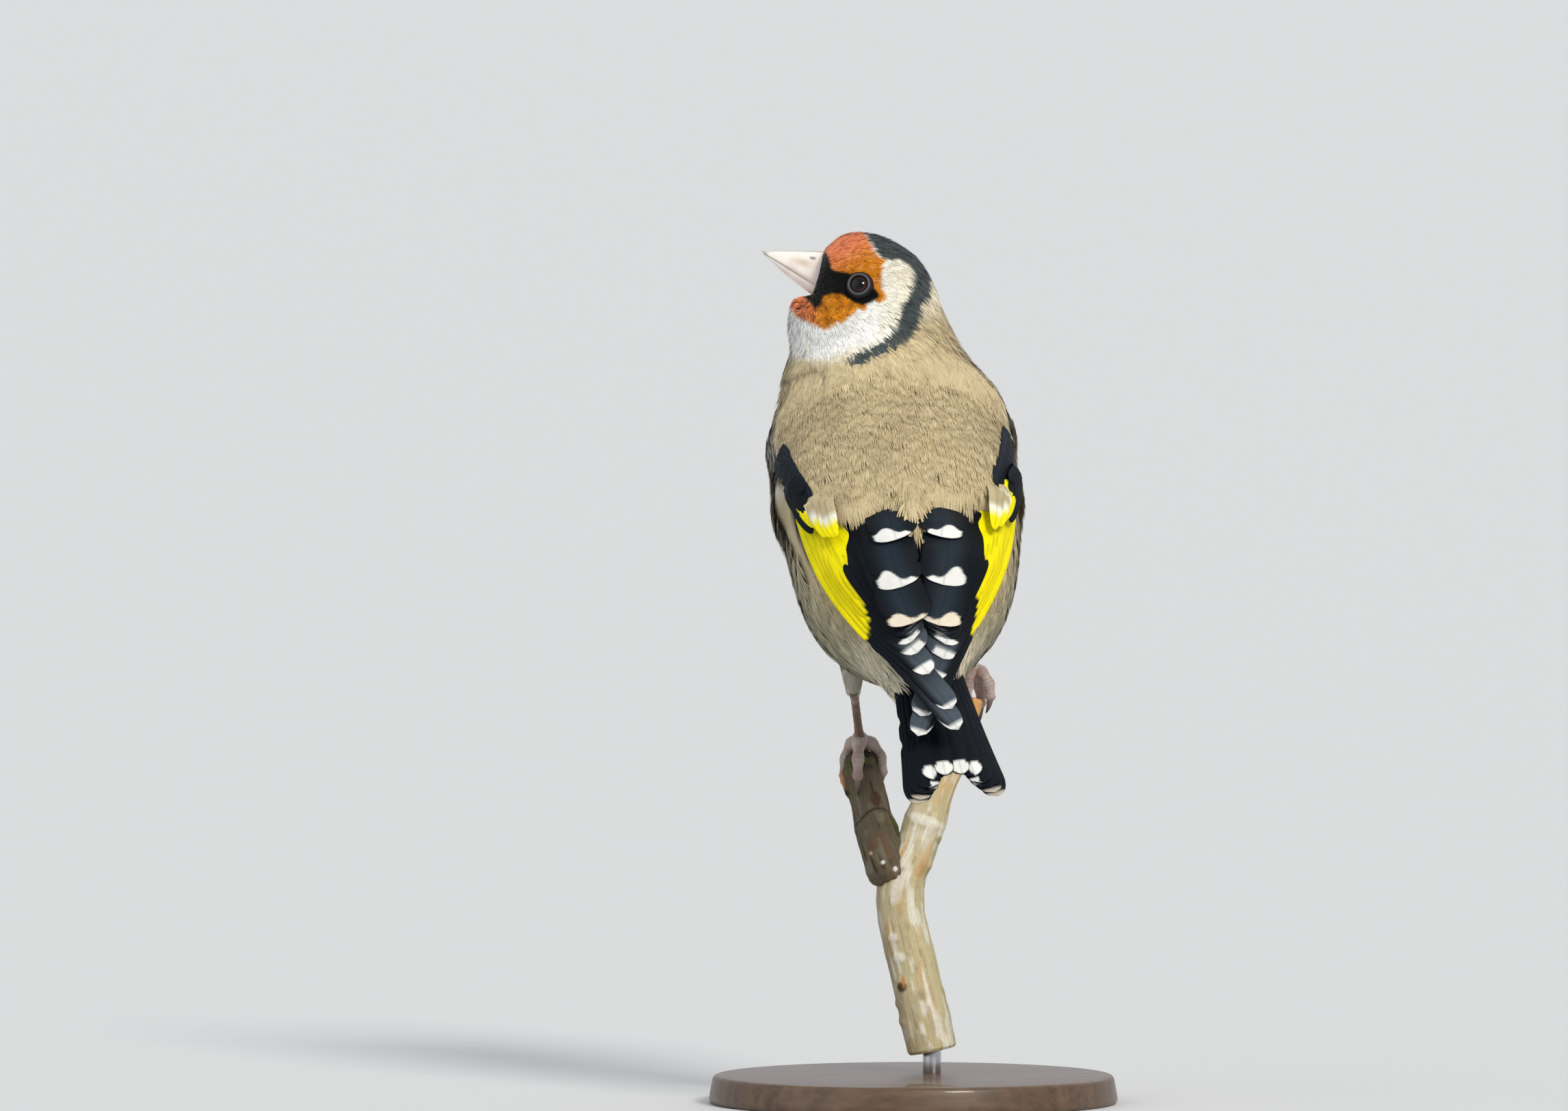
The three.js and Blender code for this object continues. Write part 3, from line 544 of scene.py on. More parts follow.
def ring_rays(rows, columns, cap_rows):
    """Starts, directions and unwrap coordinates of rays that cover the body from tail root to crown."""
    steps = [(0.0, -90 + 90 * i / cap_rows[0]) for i in range(cap_rows[0])]
    steps += [(i / rows, 0.0) for i in range(rows + 1)]
    steps += [(1.0, 90 * i / cap_rows[1]) for i in range(1, cap_rows[1])]
    t = np.array([s[0] for s in steps])
    tilt = np.radians([s[1] for s in steps])
    tangent = unit(2 * (1 - t)[:, None] * (SPINE[1] - SPINE[0]) + 2 * t[:, None] * (SPINE[2] - SPINE[1]))
    side = unit(trunk.axes[1] - (tangent @ trunk.axes[1])[:, None] * tangent)
    back = np.cross(tangent, side)
    angle = 2 * np.pi * np.arange(columns) / columns
    ring = side[:, None] * np.cos(angle)[None, :, None] + back[:, None] * np.sin(angle)[None, :, None]
    ray = ring * np.cos(tilt)[:, None, None] + tangent[:, None] * np.sin(tilt)[:, None, None]
    return np.broadcast_to(spine(t)[:, None], ray.shape), ray


SKIN_ROWS, SKIN_COLUMNS, SKIN_CAPS = 150, 144, (14, 44)
skin_start, skin_ray = ring_rays(SKIN_ROWS, SKIN_COLUMNS, SKIN_CAPS)
skin_points = reach(plumage, skin_start, skin_ray, 0.0)
flat_points = skin_points.reshape(-1, 3)
skin_normals = outward(plumage, flat_points)
flat_points = flat_points + skin_normals * (loft(flat_points) - coat_depth(flat_points))[:, None]
rows_total = len(skin_points)
cap = reach(plumage, skin_start[-1, :1], unit(2 * (SPINE[2] - SPINE[1]))[None], -SKIN_DEPTH)
points = np.concatenate([flat_points, cap])
faces = grid_faces(rows_total, SKIN_COLUMNS, wrap=True)
cap_faces = fan((rows_total - 1) * SKIN_COLUMNS, SKIN_COLUMNS, len(points) - 1)
base_faces = fan(0, SKIN_COLUMNS, 0, under=True)[1:-1]
skin_uv = np.stack([np.tile(np.arange(SKIN_COLUMNS) / SKIN_COLUMNS, rows_total),
                    np.repeat(np.arange(rows_total) / rows_total, SKIN_COLUMNS)], -1)
along, left, up = trunk.local(points).T
beneath = smooth(up, 1, 3) * smooth(-along, 15, 17) * smooth(10 - np.abs(left), 0, 3)
wrist = smooth(np.abs(left) - edge_at(MANTLE_EDGE, along - 1, left), -0.8, 0)
wrist = wrist * smooth(up, 4, 5) * smooth(9 - along, 0, 1)
skin_colour = blend_in(coat_colour(points) * 0.92, JET, np.maximum(beneath, wrist * smooth(along, -19, -17)))
skin = new_mesh("skin", points, [faces, cap_faces, base_faces], skin_colour,
                inset(np.concatenate([skin_uv, [[0.5, 1.0]]])), COAT_MAT, "plumage_buff")
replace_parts(skin, "torso", "neck", "head", "shank_left", "shank_right")


# Coat
EYE_AT = {"forward": 1.75, "up": 0.85, "inset": 1.7, "radius": 2.3, "rim": 1.95}
BILL = {"tip": (22, -0.67), "culmen": (11.2, 3.3), "gape": (9.4, -2.6), "chin": (9.4, -5), "width": 3.3}


def eye_frame(side):
    """Where an eye lies on the side of the head, and the way it looks."""
    start = head.place(EYE_AT["forward"], 0, EYE_AT["up"])
    at = reach(plumage, start[None], side * head.axes[1][None], 0.0)[0]
    return at, outward(plumage, at[None])[0]


eye_places = {side: eye_frame(side) for side in (1, -1)}


def head_share(p):
    """1 on the head, 0 on the body, for the way and length of the feathers."""
    rel = p - head.at
    down = -rel[:, 2] + 0.35 * (rel[:, 0] - 2)
    return smooth(-down, -19, -9)


def feather_length(p):
    """Millimetres: short round the bill and the eyes, longer down the body."""
    face = np.linalg.norm(p - bill_base, axis=1)
    eye_gap = np.minimum(*[np.linalg.norm(p - at, axis=1) for at, _ in eye_places.values()])
    on_head = np.clip(0.7 + 0.125 * face, 0.9, 3.0)
    on_head = np.minimum(on_head, 0.55 + 0.4 * np.maximum(eye_gap - 2.2, 0))
    along = trunk.local(p)[:, 0]
    body = 4.4 + 0.06 * np.abs(along - 6)
    share = head_share(p)
    return on_head * share + body * (1 - share)


def flow(p, n):
    """The way the feathers lie: back from the bill on the head, and along to the tail on the body."""
    from_bill = unit(p - head.place(14, 0, -0.5))
    down = unit(np.array([0.0, 0.0, -1.0]) - 0.35 * trunk.axes[0])
    rel = p - head.at
    under = smooth(-rel[:, 2], 4, 16)[:, None]
    on_head = unit(from_bill * (1 - 0.6 * under) + down * 0.6 * under)
    share = head_share(p)[:, None]
    way = on_head * share - trunk.axes[0] * (1 - share)
    way = way - (way * n).sum(1, keepdims=True) * n
    return unit(way)


def sample_skin(part, limits, seed):
    """Random roots on the skin's grid, thick where the feathers are short."""
    generator = np.random.default_rng(seed)
    quads = grid_faces(rows_total, SKIN_COLUMNS, wrap=True)
    a, b, c, d = (flat_points[quads[:, i]] for i in range(4))
    centre = (a + b + c + d) / 4
    area = 0.5 * np.linalg.norm(np.cross(c - a, d - b), axis=1)
    number = generator.poisson(area * density(centre) * part(centre, *limits))
    which = np.repeat(np.arange(len(quads)), number)
    s, t = generator.random((2, len(which)))
    s, t = s[:, None], t[:, None]
    p = (a[which] * (1 - s) + b[which] * s) * (1 - t) + (d[which] * (1 - s) + c[which] * s) * t
    row, column = np.divmod(which, SKIN_COLUMNS)
    uv = inset(np.stack([(column + s[:, 0]) / SKIN_COLUMNS, (row + t[:, 0]) / rows_total], -1))
    return p, np.clip(uv, 0.004, 0.992)


STEPS = 4
RIBBON = np.array([0.75, 1.0, 0.7, 0.0])
# Each barb darkens towards its root and pales to its tip: partly the greyer down at a feather's base, partly
# painted shade under the feathers that overlap it.
ROOT_DOWN_AND_SHADE, TIP_TONE = 0.9, 0.12


def tufts(name, roots, uv, slot, seed, strands=9, lift=(0.2, 0.85), colour=coat_colour,
          tones=(0.03, 0.06), field=plumage, long=None, heading=None):
    """Small feathers, each a narrow fan of fine tapering barbs that lie along the body over those behind."""
    generator = np.random.default_rng(seed)
    count = len(roots)
    n = outward(field, roots)
    length = (feather_length(roots) if long is None else long) * generator.uniform(0.8, 1.2, count)
    way = flow(roots, n) if heading is None else heading(roots, n)
    turn = generator.normal(0, 0.13, count)[:, None]
    way = unit(way + np.cross(n, way) * turn)
    root_level = field(roots)
    rise = np.minimum(lift[1] * coat_depth(roots) / SKIN_DEPTH, 0.16 * length + 0.25)
    rise = rise * generator.uniform(0.86, 1.06, count)
    raised = loft(roots) * (field is plumage)
    path = []
    for i in range(STEPS + 1):
        t = i / STEPS
        p = roots + way * (length * t)[:, None]
        level = root_level + lift[0] + rise * t ** 0.75
        fall = np.maximum(raised - loft(p), 0) * smooth(np.full(count, t), 0.2, 1.0) * 0.35
        path.append(lay(field, p, level - fall, 2))
    path = np.stack(path, 1)
    side = unit(np.cross(outward(field, path[:, 2]), way))[:, None, None]
    spread = np.linspace(-1, 1, strands)[None, :] + generator.normal(0, 0.14, (count, strands))
    reach_of = (1 - 0.3 * spread ** 2) * generator.uniform(0.78, 1.0, spread.shape)
    half = (0.3 * length ** 0.8)[:, None, None]
    t = np.linspace(0, 1, len(RIBBON))
    at = reach_of[:, :, None] * t * STEPS
    low = np.clip(at.astype(int), 0, STEPS - 1)
    part = (at - low)[..., None]
    rows = np.arange(count)[:, None, None]
    centre = path[rows, low] * (1 - part) + path[rows, low + 1] * part
    curl = generator.normal(0, 0.16, spread.shape)[..., None] * t ** 2
    centre = centre + side * ((spread[..., None] * (0.35 + 0.65 * np.sqrt(t)) + curl) * half)[..., None]
    normal = outward(field, path[:, 2])[:, None, None]
    sink = 0.1 * spread[..., None] ** 2 * t * half + generator.normal(0, 0.025, spread.shape)[..., None] * t
    centre = centre - normal * sink[..., None]
    width = (0.05 + 0.0135 * length)[:, None, None] * RIBBON
    width = width * generator.uniform(0.8, 1.2, spread.shape)[..., None]
    left_edge = centre - side * width[..., None]
    right_edge = centre[..., :-1, :] + side * width[..., :-1, None]
    points = np.concatenate([left_edge, right_edge], 2).reshape(-1, 3)
    per = 2 * len(t) - 1
    first = (np.arange(count * strands) * per)[:, None, None]
    quads = np.array([[i, len(t) + i, len(t) + 1 + i, i + 1] for i in range(len(t) - 2)])
    tip = np.array([[len(t) - 2, 2 * len(t) - 2, len(t) - 1]])
    faces = [(first + quads).reshape(-1, 4), (first + tip).reshape(-1, 3)]
    base = colour(centre[:, :, 2].reshape(-1, 3)).reshape(count, strands, 1, 3)
    tone = generator.normal(1.0, tones[0], (count, 1)) * generator.normal(1.0, tones[1], (count, strands))
    # Darker roots: greyer down and painted shade.
    tones = tone[:, :, None] * (ROOT_DOWN_AND_SHADE + TIP_TONE * t ** 0.8)
    tones = np.concatenate([tones, tones[..., :-1]], 2)
    tint = base * tones[..., None]
    patch = np.stack(np.broadcast_arrays(spread[:, :, None] * 0.0012, (t - 0.5) * 0.0026), -1)
    patch = np.concatenate([patch, patch[..., :-1, :] + (0.0002, 0)], 2)
    coords = uv[:, None, None, :] + patch
    return new_mesh(name, points, faces, tint.reshape(-1, 3), coords.reshape(-1, 2), COAT_MAT, slot)


def clear_of_face(p):
    """1 where feathers grow: not on the bill's root nor inside the rims of the eyes."""
    q = head.local(p)
    on_bill = (q[:, 0] > 7.5) & (np.abs(q[:, 1]) < 2.9) & (q[:, 2] < 3.0) & (q[:, 2] > -4.6)
    gap = np.minimum(*[np.linalg.norm(p - at, axis=1) for at, _ in eye_places.values()])
    return (~on_bill) & (gap > EYE_AT["rim"])


def under_wing(p):
    """1 where the folded wings hide the body, so that no feathers are needed."""
    along, left, up = trunk.local(p).T
    outer = np.interp(-along, [-14, 0, 15, 25, 31, 36, 41, 46], [14, 14, 14, 12.5, 9.5, 6.5, 4, 1.5])
    inner = np.interp(-along, [13, 15.5, 20, 23], [14, 1.5, 0.7, -1])
    folded = (np.abs(left) < outer) & (np.abs(left) > inner)
    hem = edge_at(MANTLE_EDGE, along - 4, left) - 1.3
    out_to = edge_at(WRIST_EDGE, along, left) + 0.2
    wrist = (along < 8) & (along > -18) & (np.abs(left) > hem) & (np.abs(left) < out_to)
    return (up > 0) & (folded | wrist)


LAYERS = 10.0


def density(p):
    """Roots a square millimetre that make LAYERS layers of feathers."""
    return LAYERS / np.maximum(0.4 * feather_length(p) ** 1.85, 0.25)


def on_head(p):
    return head_share(p) > 0.5


def head_part(p, front, left=None):
    q = head.local(p)
    grown = on_head(p) & clear_of_face(p) & ((q[:, 0] > 0) == front)
    return grown if left is None else grown & ((q[:, 1] > 0) == left)


def trunk_part(p, low, high, left):
    q = trunk.local(p)
    return ~on_head(p) & (q[:, 0] > low) & (q[:, 0] <= high) & ((q[:, 1] > 0) == left) & ~under_wing(p)


CHEST, BODY, RUMP = (6, 99), (-16, 6), (-99, -16)
COATS = [
    ("coat_face_left", head_part, (True, True)),
    ("coat_face_right", head_part, (True, False)),
    ("coat_crown", head_part, (False,)),
    ("coat_chest_left", trunk_part, (*CHEST, True)),
    ("coat_chest_right", trunk_part, (*CHEST, False)),
    ("coat_body_left", trunk_part, (*BODY, True)),
    ("coat_body_right", trunk_part, (*BODY, False)),
    ("coat_rump_left", trunk_part, (*RUMP, True)),
    ("coat_rump_right", trunk_part, (*RUMP, False)),
]
FACE_LOOK = {"slot": "plumage_face", "strands": 7, "tones": (0.07, 0.11)}
BODY_LOOK = {"slot": "plumage_buff", "strands": 11, "tones": (0.03, 0.06)}
for index, (name, part, limits) in enumerate(COATS):
    roots, uv = sample_skin(part, limits, 100 + index)
    look = FACE_LOOK if part is head_part else BODY_LOOK
    tufts(name, roots, uv, seed=200 + index, **look)


# Flight feathers
wing_base = blended([wing_bed, plumage], 2.0)


def on_bed(along, across, lift=0.0):
    start = trunk.place(along, across, -2.0)
    return reach(wing_base, start, trunk.axes[2], lift)


CROSSING = {"from": 30.0, "to": 43.0, "raise": 2.0}
VANE_THICK = 0.16
SPLITS = 2


def crossing(p):
    """The left wing's tip is lifted over the right one's."""
    behind = -trunk.local(p)[..., 0]
    return CROSSING["raise"] * smooth(behind, CROSSING["from"], CROSSING["to"])


def bent_line(start, end, bow, field, t):
    """Points from root to tip, bowed sideways."""
    line = start + (end - start) * t[:, None]
    side = unit(np.cross(end - start, outward(field, ((start + end) / 2)[None])[0]))
    return line + side * (bow * 4 * t * (1 - t))[:, None]


def feather(field, start, end, half, lift, colour, generator, bow=0.0, bow_side=1, raised=None, tip=0.16,
            inner=1.0, outer=1.0, camber=0.22, root_lift=0.3, narrow=0.5, ramp=0.45, grid=(36, 11)):
    """A vane's points, faces, colours and barb lines. Outer and inner are its two webs' shares of half."""
    rows, columns = grid
    t = np.linspace(0, 1, rows) ** 0.92
    s = np.linspace(-1, 1, columns)
    shaft = bent_line(start, end, bow * bow_side, field, t)
    height = root_lift + (lift - root_lift) * smooth(t, 0, ramp)
    if raised is not None:
        height = height + raised(shaft)
    shaft = lay(field, shaft, height)
    normal = outward(field, shaft)
    ahead = unit(np.gradient(shaft, axis=0))
    side = unit(np.cross(ahead, normal)) * bow_side
    body = narrow + (1 - narrow) * smooth(t, 0, 0.4)
    past = np.clip((t - 1 + tip) / tip, 0, 1)
    rounding = (1 - past ** 2) ** 0.5
    web = np.where(s > 0, outer, inner) * half
    offset = s[None, :] * web[None, :] * (body * rounding)[:, None]
    points = shaft[:, None] + side[:, None] * offset[..., None]
    for _ in range(SPLITS):
        at = generator.uniform(0.55, 0.95)
        edge = generator.choice([-1, 1])
        dent = np.exp(-((t - at) / 0.02) ** 2)[:, None] * np.clip(s[None, :] * edge, 0, 1) ** 4
        points = points - side[:, None] * (edge * 0.14 * half * dent)[..., None]
    low = height[:, None] - camber * (offset / half) ** 2 * half / 3
    points = lay(field, points.reshape(-1, 3), low.reshape(-1))
    n = np.repeat(normal, columns, axis=0)
    rim = (np.abs(s) == 1)[None, :] | (t == 1)[:, None]
    half_thick = np.where(rim, 0.3, 0.5).reshape(-1, 1) * VANE_THICK
    shaft_ridge = np.exp(-(offset / 0.22) ** 2).reshape(-1, 1) * 0.10
    shaft_ridge = shaft_ridge * (1 - t.repeat(columns)[:, None] * 0.7)
    top, bottom = points + n * (half_thick + shaft_ridge), points - n * half_thick
    count = len(points)
    quads = grid_faces(rows, columns)
    ring = np.concatenate([np.arange(columns), np.arange(1, rows) * columns + columns - 1,
                           (rows - 1) * columns + np.arange(columns - 2, -1, -1),
                           np.arange(rows - 2, 0, -1) * columns])
    after = np.roll(ring, -1)
    sides = np.stack([ring, after, after + count, ring + count], -1)
    faces = np.concatenate([quads[:, ::-1], quads + count, sides])
    tt, ss = np.meshgrid(t, s, indexing="ij")
    length = np.linalg.norm(end - start)
    barb = (tt * length - np.abs(offset) * 0.9) * 2.6
    tint = colour(tt.ravel(), ss.ravel(), points, offset.ravel())
    spine_tone = np.exp(-(offset.ravel() / 0.16) ** 2)[:, None]
    tint = tint * (1 - 0.25 * spine_tone)
    uv = np.stack([tt.ravel(), (ss.ravel() + 1) / 2], -1)
    return {"points": np.concatenate([top, bottom]), "faces": faces, "barb": np.tile(barb.ravel(), 2),
            "tint": np.concatenate([tint, tint * 0.8]), "uv": np.concatenate([uv, uv])}


def assemble(name, feathers, material, slot):
    """Joins feathers in one mesh and gives each its own strip of the unwrap."""
    start, points, faces, tint, barb, uv = 0, [], [], [], [], []
    columns = math.ceil(math.sqrt(len(feathers)))
    for i, one in enumerate(feathers):
        points.append(one["points"])
        faces.append(one["faces"] + start)
        tint.append(one["tint"])
        barb.append(one["barb"])
        cell = np.array([i % columns, i // columns]) / columns
        uv.append(cell + (0.02 + 0.96 * one["uv"]) / columns)
        start += len(one["points"])
    points, faces, tint, barb, uv = (np.concatenate(part) for part in (points, faces, tint, barb, uv))
    return new_mesh(name, points, faces, tint, uv, material, slot, extra={"barb": barb})


def spot(t, s, at, half_t, s_low, s_high, sharp=0.22):
    """A rounded patch on a vane, 1 inside it."""
    middle, half_s = (s_low + s_high) / 2, (s_high - s_low) / 2
    d = ((t - at) / half_t) ** 2 + np.abs((s - middle) / half_s) ** 2.6
    return smooth(1 - d, -sharp, sharp)


def tip_gap(t, offset, web, length, tip):
    """How far a point on a vane lies from the vane's rounded end, along the shaft."""
    past = np.sqrt(np.clip(1 - (offset / web) ** 2, 0, 1))
    return (1 - tip + tip * past - t) * length


def vane_base(tone):
    """Black at tone 0 and slate at 1; the slate is painted sheen, and on edges a greyer fringe."""
    return blend_in(JET, SLATE, np.clip(tone, 0, 1))


def tertial(half, length, tip, blob, tail, at, colour):
    """A black vane with a painted slate sheen down its middle, greyer towards its end and black on its outer
    margin, with a comma-shaped pale mark along its end.
    """
    def paint(t, s, points, offset):
        # Painted sheen: a slate-blue gloss down the middle of the vane.
        painted_sheen = 0.8 * np.exp(-((s - 0.05) / 0.55) ** 2) * (0.5 + 0.5 * smooth(t, 0.1, 0.8))
        tint = vane_base(painted_sheen + 0.25 * smooth(t, 0.85, 1))
        across = offset / half
        deep = tail * smooth(across, -0.72, -0.4) + blob * np.exp(-np.abs((across - at) / 0.36) ** 2.4)
        gap = tip_gap(t, offset, half, length, tip)
        mark = smooth(deep - gap, -0.12, 0.12) * smooth(0.88 - across, 0, 0.08) * smooth(deep, 0.05, 0.3)
        return blend_in(tint, colour, mark)
    return paint


def black_vane(tone, edge):
    """Paints a black vane, with a painted sheen by the shaft as strong as tone, and greyer along its edges.
    """
    def paint(t, s, points, offset):
        # Painted sheen: greyer towards the shaft, as strong as tone; the edges are greyer by edge.
        painted_sheen = tone * (0.4 + 0.6 * np.exp(-((s + 0.25) / 0.45) ** 2)) * (0.6 + 0.4 * smooth(t, 0.2, 0.7))
        return vane_base(painted_sheen + edge * smooth(np.abs(s), 0.86, 1.0))
    return paint


def barred(until, plain):
    """A feather that is yellow along the trunk as far back as until, and plain beyond it."""
    def paint(t, s, points, offset):
        along = trunk.local(points)[:, 0]
        weight = smooth(along - until + 0.8 * np.abs(s - 0.3), -0.3, 0.3)
        gold = blend_in(YELLOW, GOLD, 0.6 * smooth(s, 0.5, 1.0))
        gold = gold * (1 - 0.1 * smooth(np.sin(offset * 9 + t * 30), 0.2, 1))[:, None]
        return blend_in(plain(t, s, points, offset), gold, weight * smooth(t, -0.03, 0.03))
    return paint


def gold_covert(begin):
    """Yellow at the tip, paling to cream and then tan where the back's feathers cover it."""
    def paint(t, s, points, offset):
        gold = blend_in(YELLOW, WHITE, 0.85 * smooth(begin - t, 0, 0.16))
        gold = blend_in(gold, TAN * 0.95, smooth(begin - 0.13 - t, 0, 0.13))
        return gold * (1 - 0.08 * smooth(np.sin(offset * 9 + t * 30), 0.2, 1))[:, None]
    return paint


def half_moon(deep, crescent, tone):
    """A black vane, steel grey towards a pale half-moon at its end, or a thin crescent along the rim."""
    def paint(t, s, points, offset):
        tint = black_vane(0.1, 0.08)(t, s, points, offset)
        tint = blend_in(tint, STEEL, tone * smooth(t, 0.78, 0.95) * smooth(0.9 - s, 0, 0.7))
        if crescent:
            web = np.where(s > 0, REMEX_OUTER, 1.0) * REMEX_HALF
            deep_here = deep * (1.3 - (offset / 1.7) ** 2)
            gap = tip_gap(t, offset, web, CRESCENT_LENGTH, REMEX_TIP)
            mark = smooth(deep_here - gap, -0.12, 0.12) * smooth(t, 0.93, 0.955)
            mark = mark * smooth(deep_here, 0.0, 0.3)
        else:
            mark = smooth(t - 1 + deep / 40, -0.004, 0.004) * smooth(2.3 - np.abs(offset), 0, 0.3)
        return blend_in(tint, SPOT, mark)
    return paint


def spread_line(a, b, t):
    """The place a share t of the way from a to b, for a row of feathers."""
    return tuple(a[i] + (b[i] - a[i]) * t for i in range(2))


# The long flight feathers from the outermost primary to the innermost secondary: each tip's place along
# and across the trunk, its pale mark's depth in millimetres, and how far back the vane is yellow
REMEX_TIPS = [(-56.6, -3.2, 0.9, -35.4), (-53.2, -2.6, 0.9, -34.6), (-46.6, 0.3, 2.1, -33.8),
              (-42.2, 1.8, 2.3, -32.8), (-39.4, 2.4, 2.2, -31.6), (-38.4, 2.4, 0, -30.4),
              (-38.0, 2.6, 0, 9), (-37.4, 2.8, 0, 9), (-36.8, 3.1, 0, 9)]
PRIMARIES = 6
REMEX_HALF, REMEX_OUTER, REMEX_TIP = 2.5, 0.75, 0.06
CRESCENT_LENGTH = 57.0
INNER_WEBS = (1.0, 1.0, 1.1, 1.6, 1.7, 1.7)
# Lines along and across the trunk on which the roots and the tips of each row of wing feathers lie
PRIMARY_ROOTS = ((-3, 19.4), (-14, 14.4))
SECONDARY_ROOTS = ((-15, 13.0), (-14, 9.6))
PRIMARY_COVERTS = {"count": 5, "roots": ((3, 19.6), (0, 19.0)), "tips": ((-15.4, 17.3), (-7.5, 18.2))}
GREATER_COVERTS = {"count": 6, "roots": ((-3, 17.8), (-6, 13.5)), "tips": ((-14.8, 16.6), (-19, 14.0))}
LESSER_COVERTS = {"rows": 6, "count": 4, "first": 7.5, "step": 2.4, "half": 1.15}
COVERT_FADES = (0.3, 0.46, 0.66, 0.76, 0.8, 0.82)
# Tertials from the outermost, with buff or white marks at their tips: root, tip, half width, bow, the mark's
# two depths and place across the vane, its colour, the tip's length, and how far back the vane lies low
TERTIALS = [((-13, 7.0), (-37.5, 2.2), 4.6, 0.5, (1.9, 0.8, 0.42), BUFF_SPOT, 0.12, 0.5),
            ((-12, 5.6), (-31.2, 3.6), 4.7, 0.4, (2.5, 1.1, 0.4), SPOT, 0.14, 0.7),
            ((-12, 4.7), (-23.6, 3.9), 4.4, 0.2, (1.9, 1.1, 0.32), SPOT, 0.22, 0.95)]


def row_place(row, i):
    """The root and the tip of the feather numbered i in a row."""
    t = i / (row["count"] - 1)
    return spread_line(*row["roots"], t), spread_line(*row["tips"], t)


def wing_feathers(side, seed):
    """One folded wing, from the feathers that lie lowest to the small ones on top."""
    generator = np.random.default_rng(seed)
    raised = crossing if side > 0 else None
    made = []

    def add(root, tip_at, half, lift, colour, bow=0.0, wander=0.1, **more):
        jitter = generator.normal(0, wander, 4)
        start = on_bed(root[0] + jitter[0], side * (root[1] + jitter[1]), 0.3)
        end = on_bed(tip_at[0] + jitter[2], side * (tip_at[1] + jitter[3] * 0.6), lift)
        made.append(feather(wing_base, start, end, half, lift, colour, generator, bow=bow, bow_side=side,
                            raised=raised, **more))

    for i, (along, across, mark, gold) in enumerate(REMEX_TIPS):
        late = i - PRIMARIES
        if late < 0:
            root = spread_line(*PRIMARY_ROOTS, i / (PRIMARIES - 1))
        else:
            root = spread_line(*SECONDARY_ROOTS, late / (len(REMEX_TIPS) - PRIMARIES - 1))
        bowed = 2.3 if side > 0 else 1.1
        across += 0.9 if side < 0 and i in (3, 4, 5) else 0
        paint = barred(gold, half_moon(mark, i < 2, 0.6 if i < 4 else 0.2))
        add(root, (along, across), REMEX_HALF + 0.12 * i, 0.9 + 0.3 * i, paint,
            bow=bowed - (bowed - 0.5) * i / 8, outer=REMEX_OUTER, inner=INNER_WEBS[min(i, 5)],
            tip=REMEX_TIP if i < 2 else 0.1, grid=(64, 17))
    # Primary coverts: the black patch outside the yellow at the wrist
    for i in range(PRIMARY_COVERTS["count"]):
        root, tip_at = row_place(PRIMARY_COVERTS, i)
        add(root, tip_at, 1.25, 2.2 + 0.18 * i, black_vane(0.1, 0.2), bow=0.3, tip=0.3)
    # Greater coverts: yellow, their roots under the back's feathers
    for i in range(GREATER_COVERTS["count"]):
        root, tip_at = row_place(GREATER_COVERTS, i)
        add(root, tip_at, 1.6, 2.5 + 0.1 * i, gold_covert(COVERT_FADES[i]), bow=0.5, tip=0.5, wander=0.3)
    for i, (root, tip_at, half, bow, (blob, tail, at), colour, tip, ramp) in enumerate(TERTIALS):
        paint = tertial(half, math.dist(root, tip_at), tip, blob, tail, at, colour)
        add(root, tip_at, half, 4.1 + 0.35 * i, paint, bow=bow, tip=tip, narrow=0.85, ramp=ramp,
            grid=(72, 27))
    # Small black lesser coverts along the wrist
    for row in range(LESSER_COVERTS["rows"]):
        along = LESSER_COVERTS["first"] - LESSER_COVERTS["step"] * row
        inner = np.interp(along - 3, *MANTLE_EDGE[side]) - (0.2 + 0.28 * row)
        outer = np.interp(along - 3, *WRIST_EDGE[side]) - 0.9
        for i in range(LESSER_COVERTS["count"]):
            out = outer + (inner - outer) * i / (LESSER_COVERTS["count"] - 1)
            add((along + 0.6 * i, out + 0.1), (along - 6 + 0.4 * i, out - 0.35), LESSER_COVERTS["half"],
                1.7 + 0.2 * i + 0.03 * row, black_vane(0.5, 0.3), tip=0.5, wander=0.12)
    return made


for side, name in ((1, "left"), (-1, "right")):
    piece = assemble(f"wing_feathers_{name}", wing_feathers(side, 300 + side), VANE_MAT, "plumage_black")
    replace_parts(piece, f"wing_{name}")


def tail_flat(p):
    return tail_frame.local(p)[..., 2]


# Each tail feather from the middle pair out: how far out its tip lies, half its width, its length, and its
# white mark's half length and place along the vane, and its limits across
RECTRICES = [(1.8, 2.0, 35.2, (0.037, 0.958, -0.9, 0.99)), (3.9, 2.4, 35.6, (0.036, 0.958, -0.25, 0.92)),
             (5.3, 2.6, 37.0, (0.014, 0.972, -1.0, -0.3)), (6.2, 2.85, 37.9, (0.014, 0.956, -0.98, -0.4)),
             (6.9, 2.9, 38.8, None), (7.45, 2.9, 39.4, None)]


def rectrix(i):
    def paint(t, s, points, offset):
        # Painted sheen: a faint slate gloss down the vane's middle; the edges are greyer.
        tint = blend_in(TAIL_INK, SLATE, 0.14 * smooth(np.abs(s), 0.85, 1) + 0.05 * np.exp(-(s / 0.4) ** 2))
        if RECTRICES[i][3]:
            half_t, at, low, high = RECTRICES[i][3]
            tint = blend_in(tint, SPOT, spot(t, s, at, half_t, low, high, 0.15))
        return blend_in(tint, BUFF_SPOT, (0.9 if i > 3 else 0.0) * smooth(t, 0.983, 0.987))
    return paint


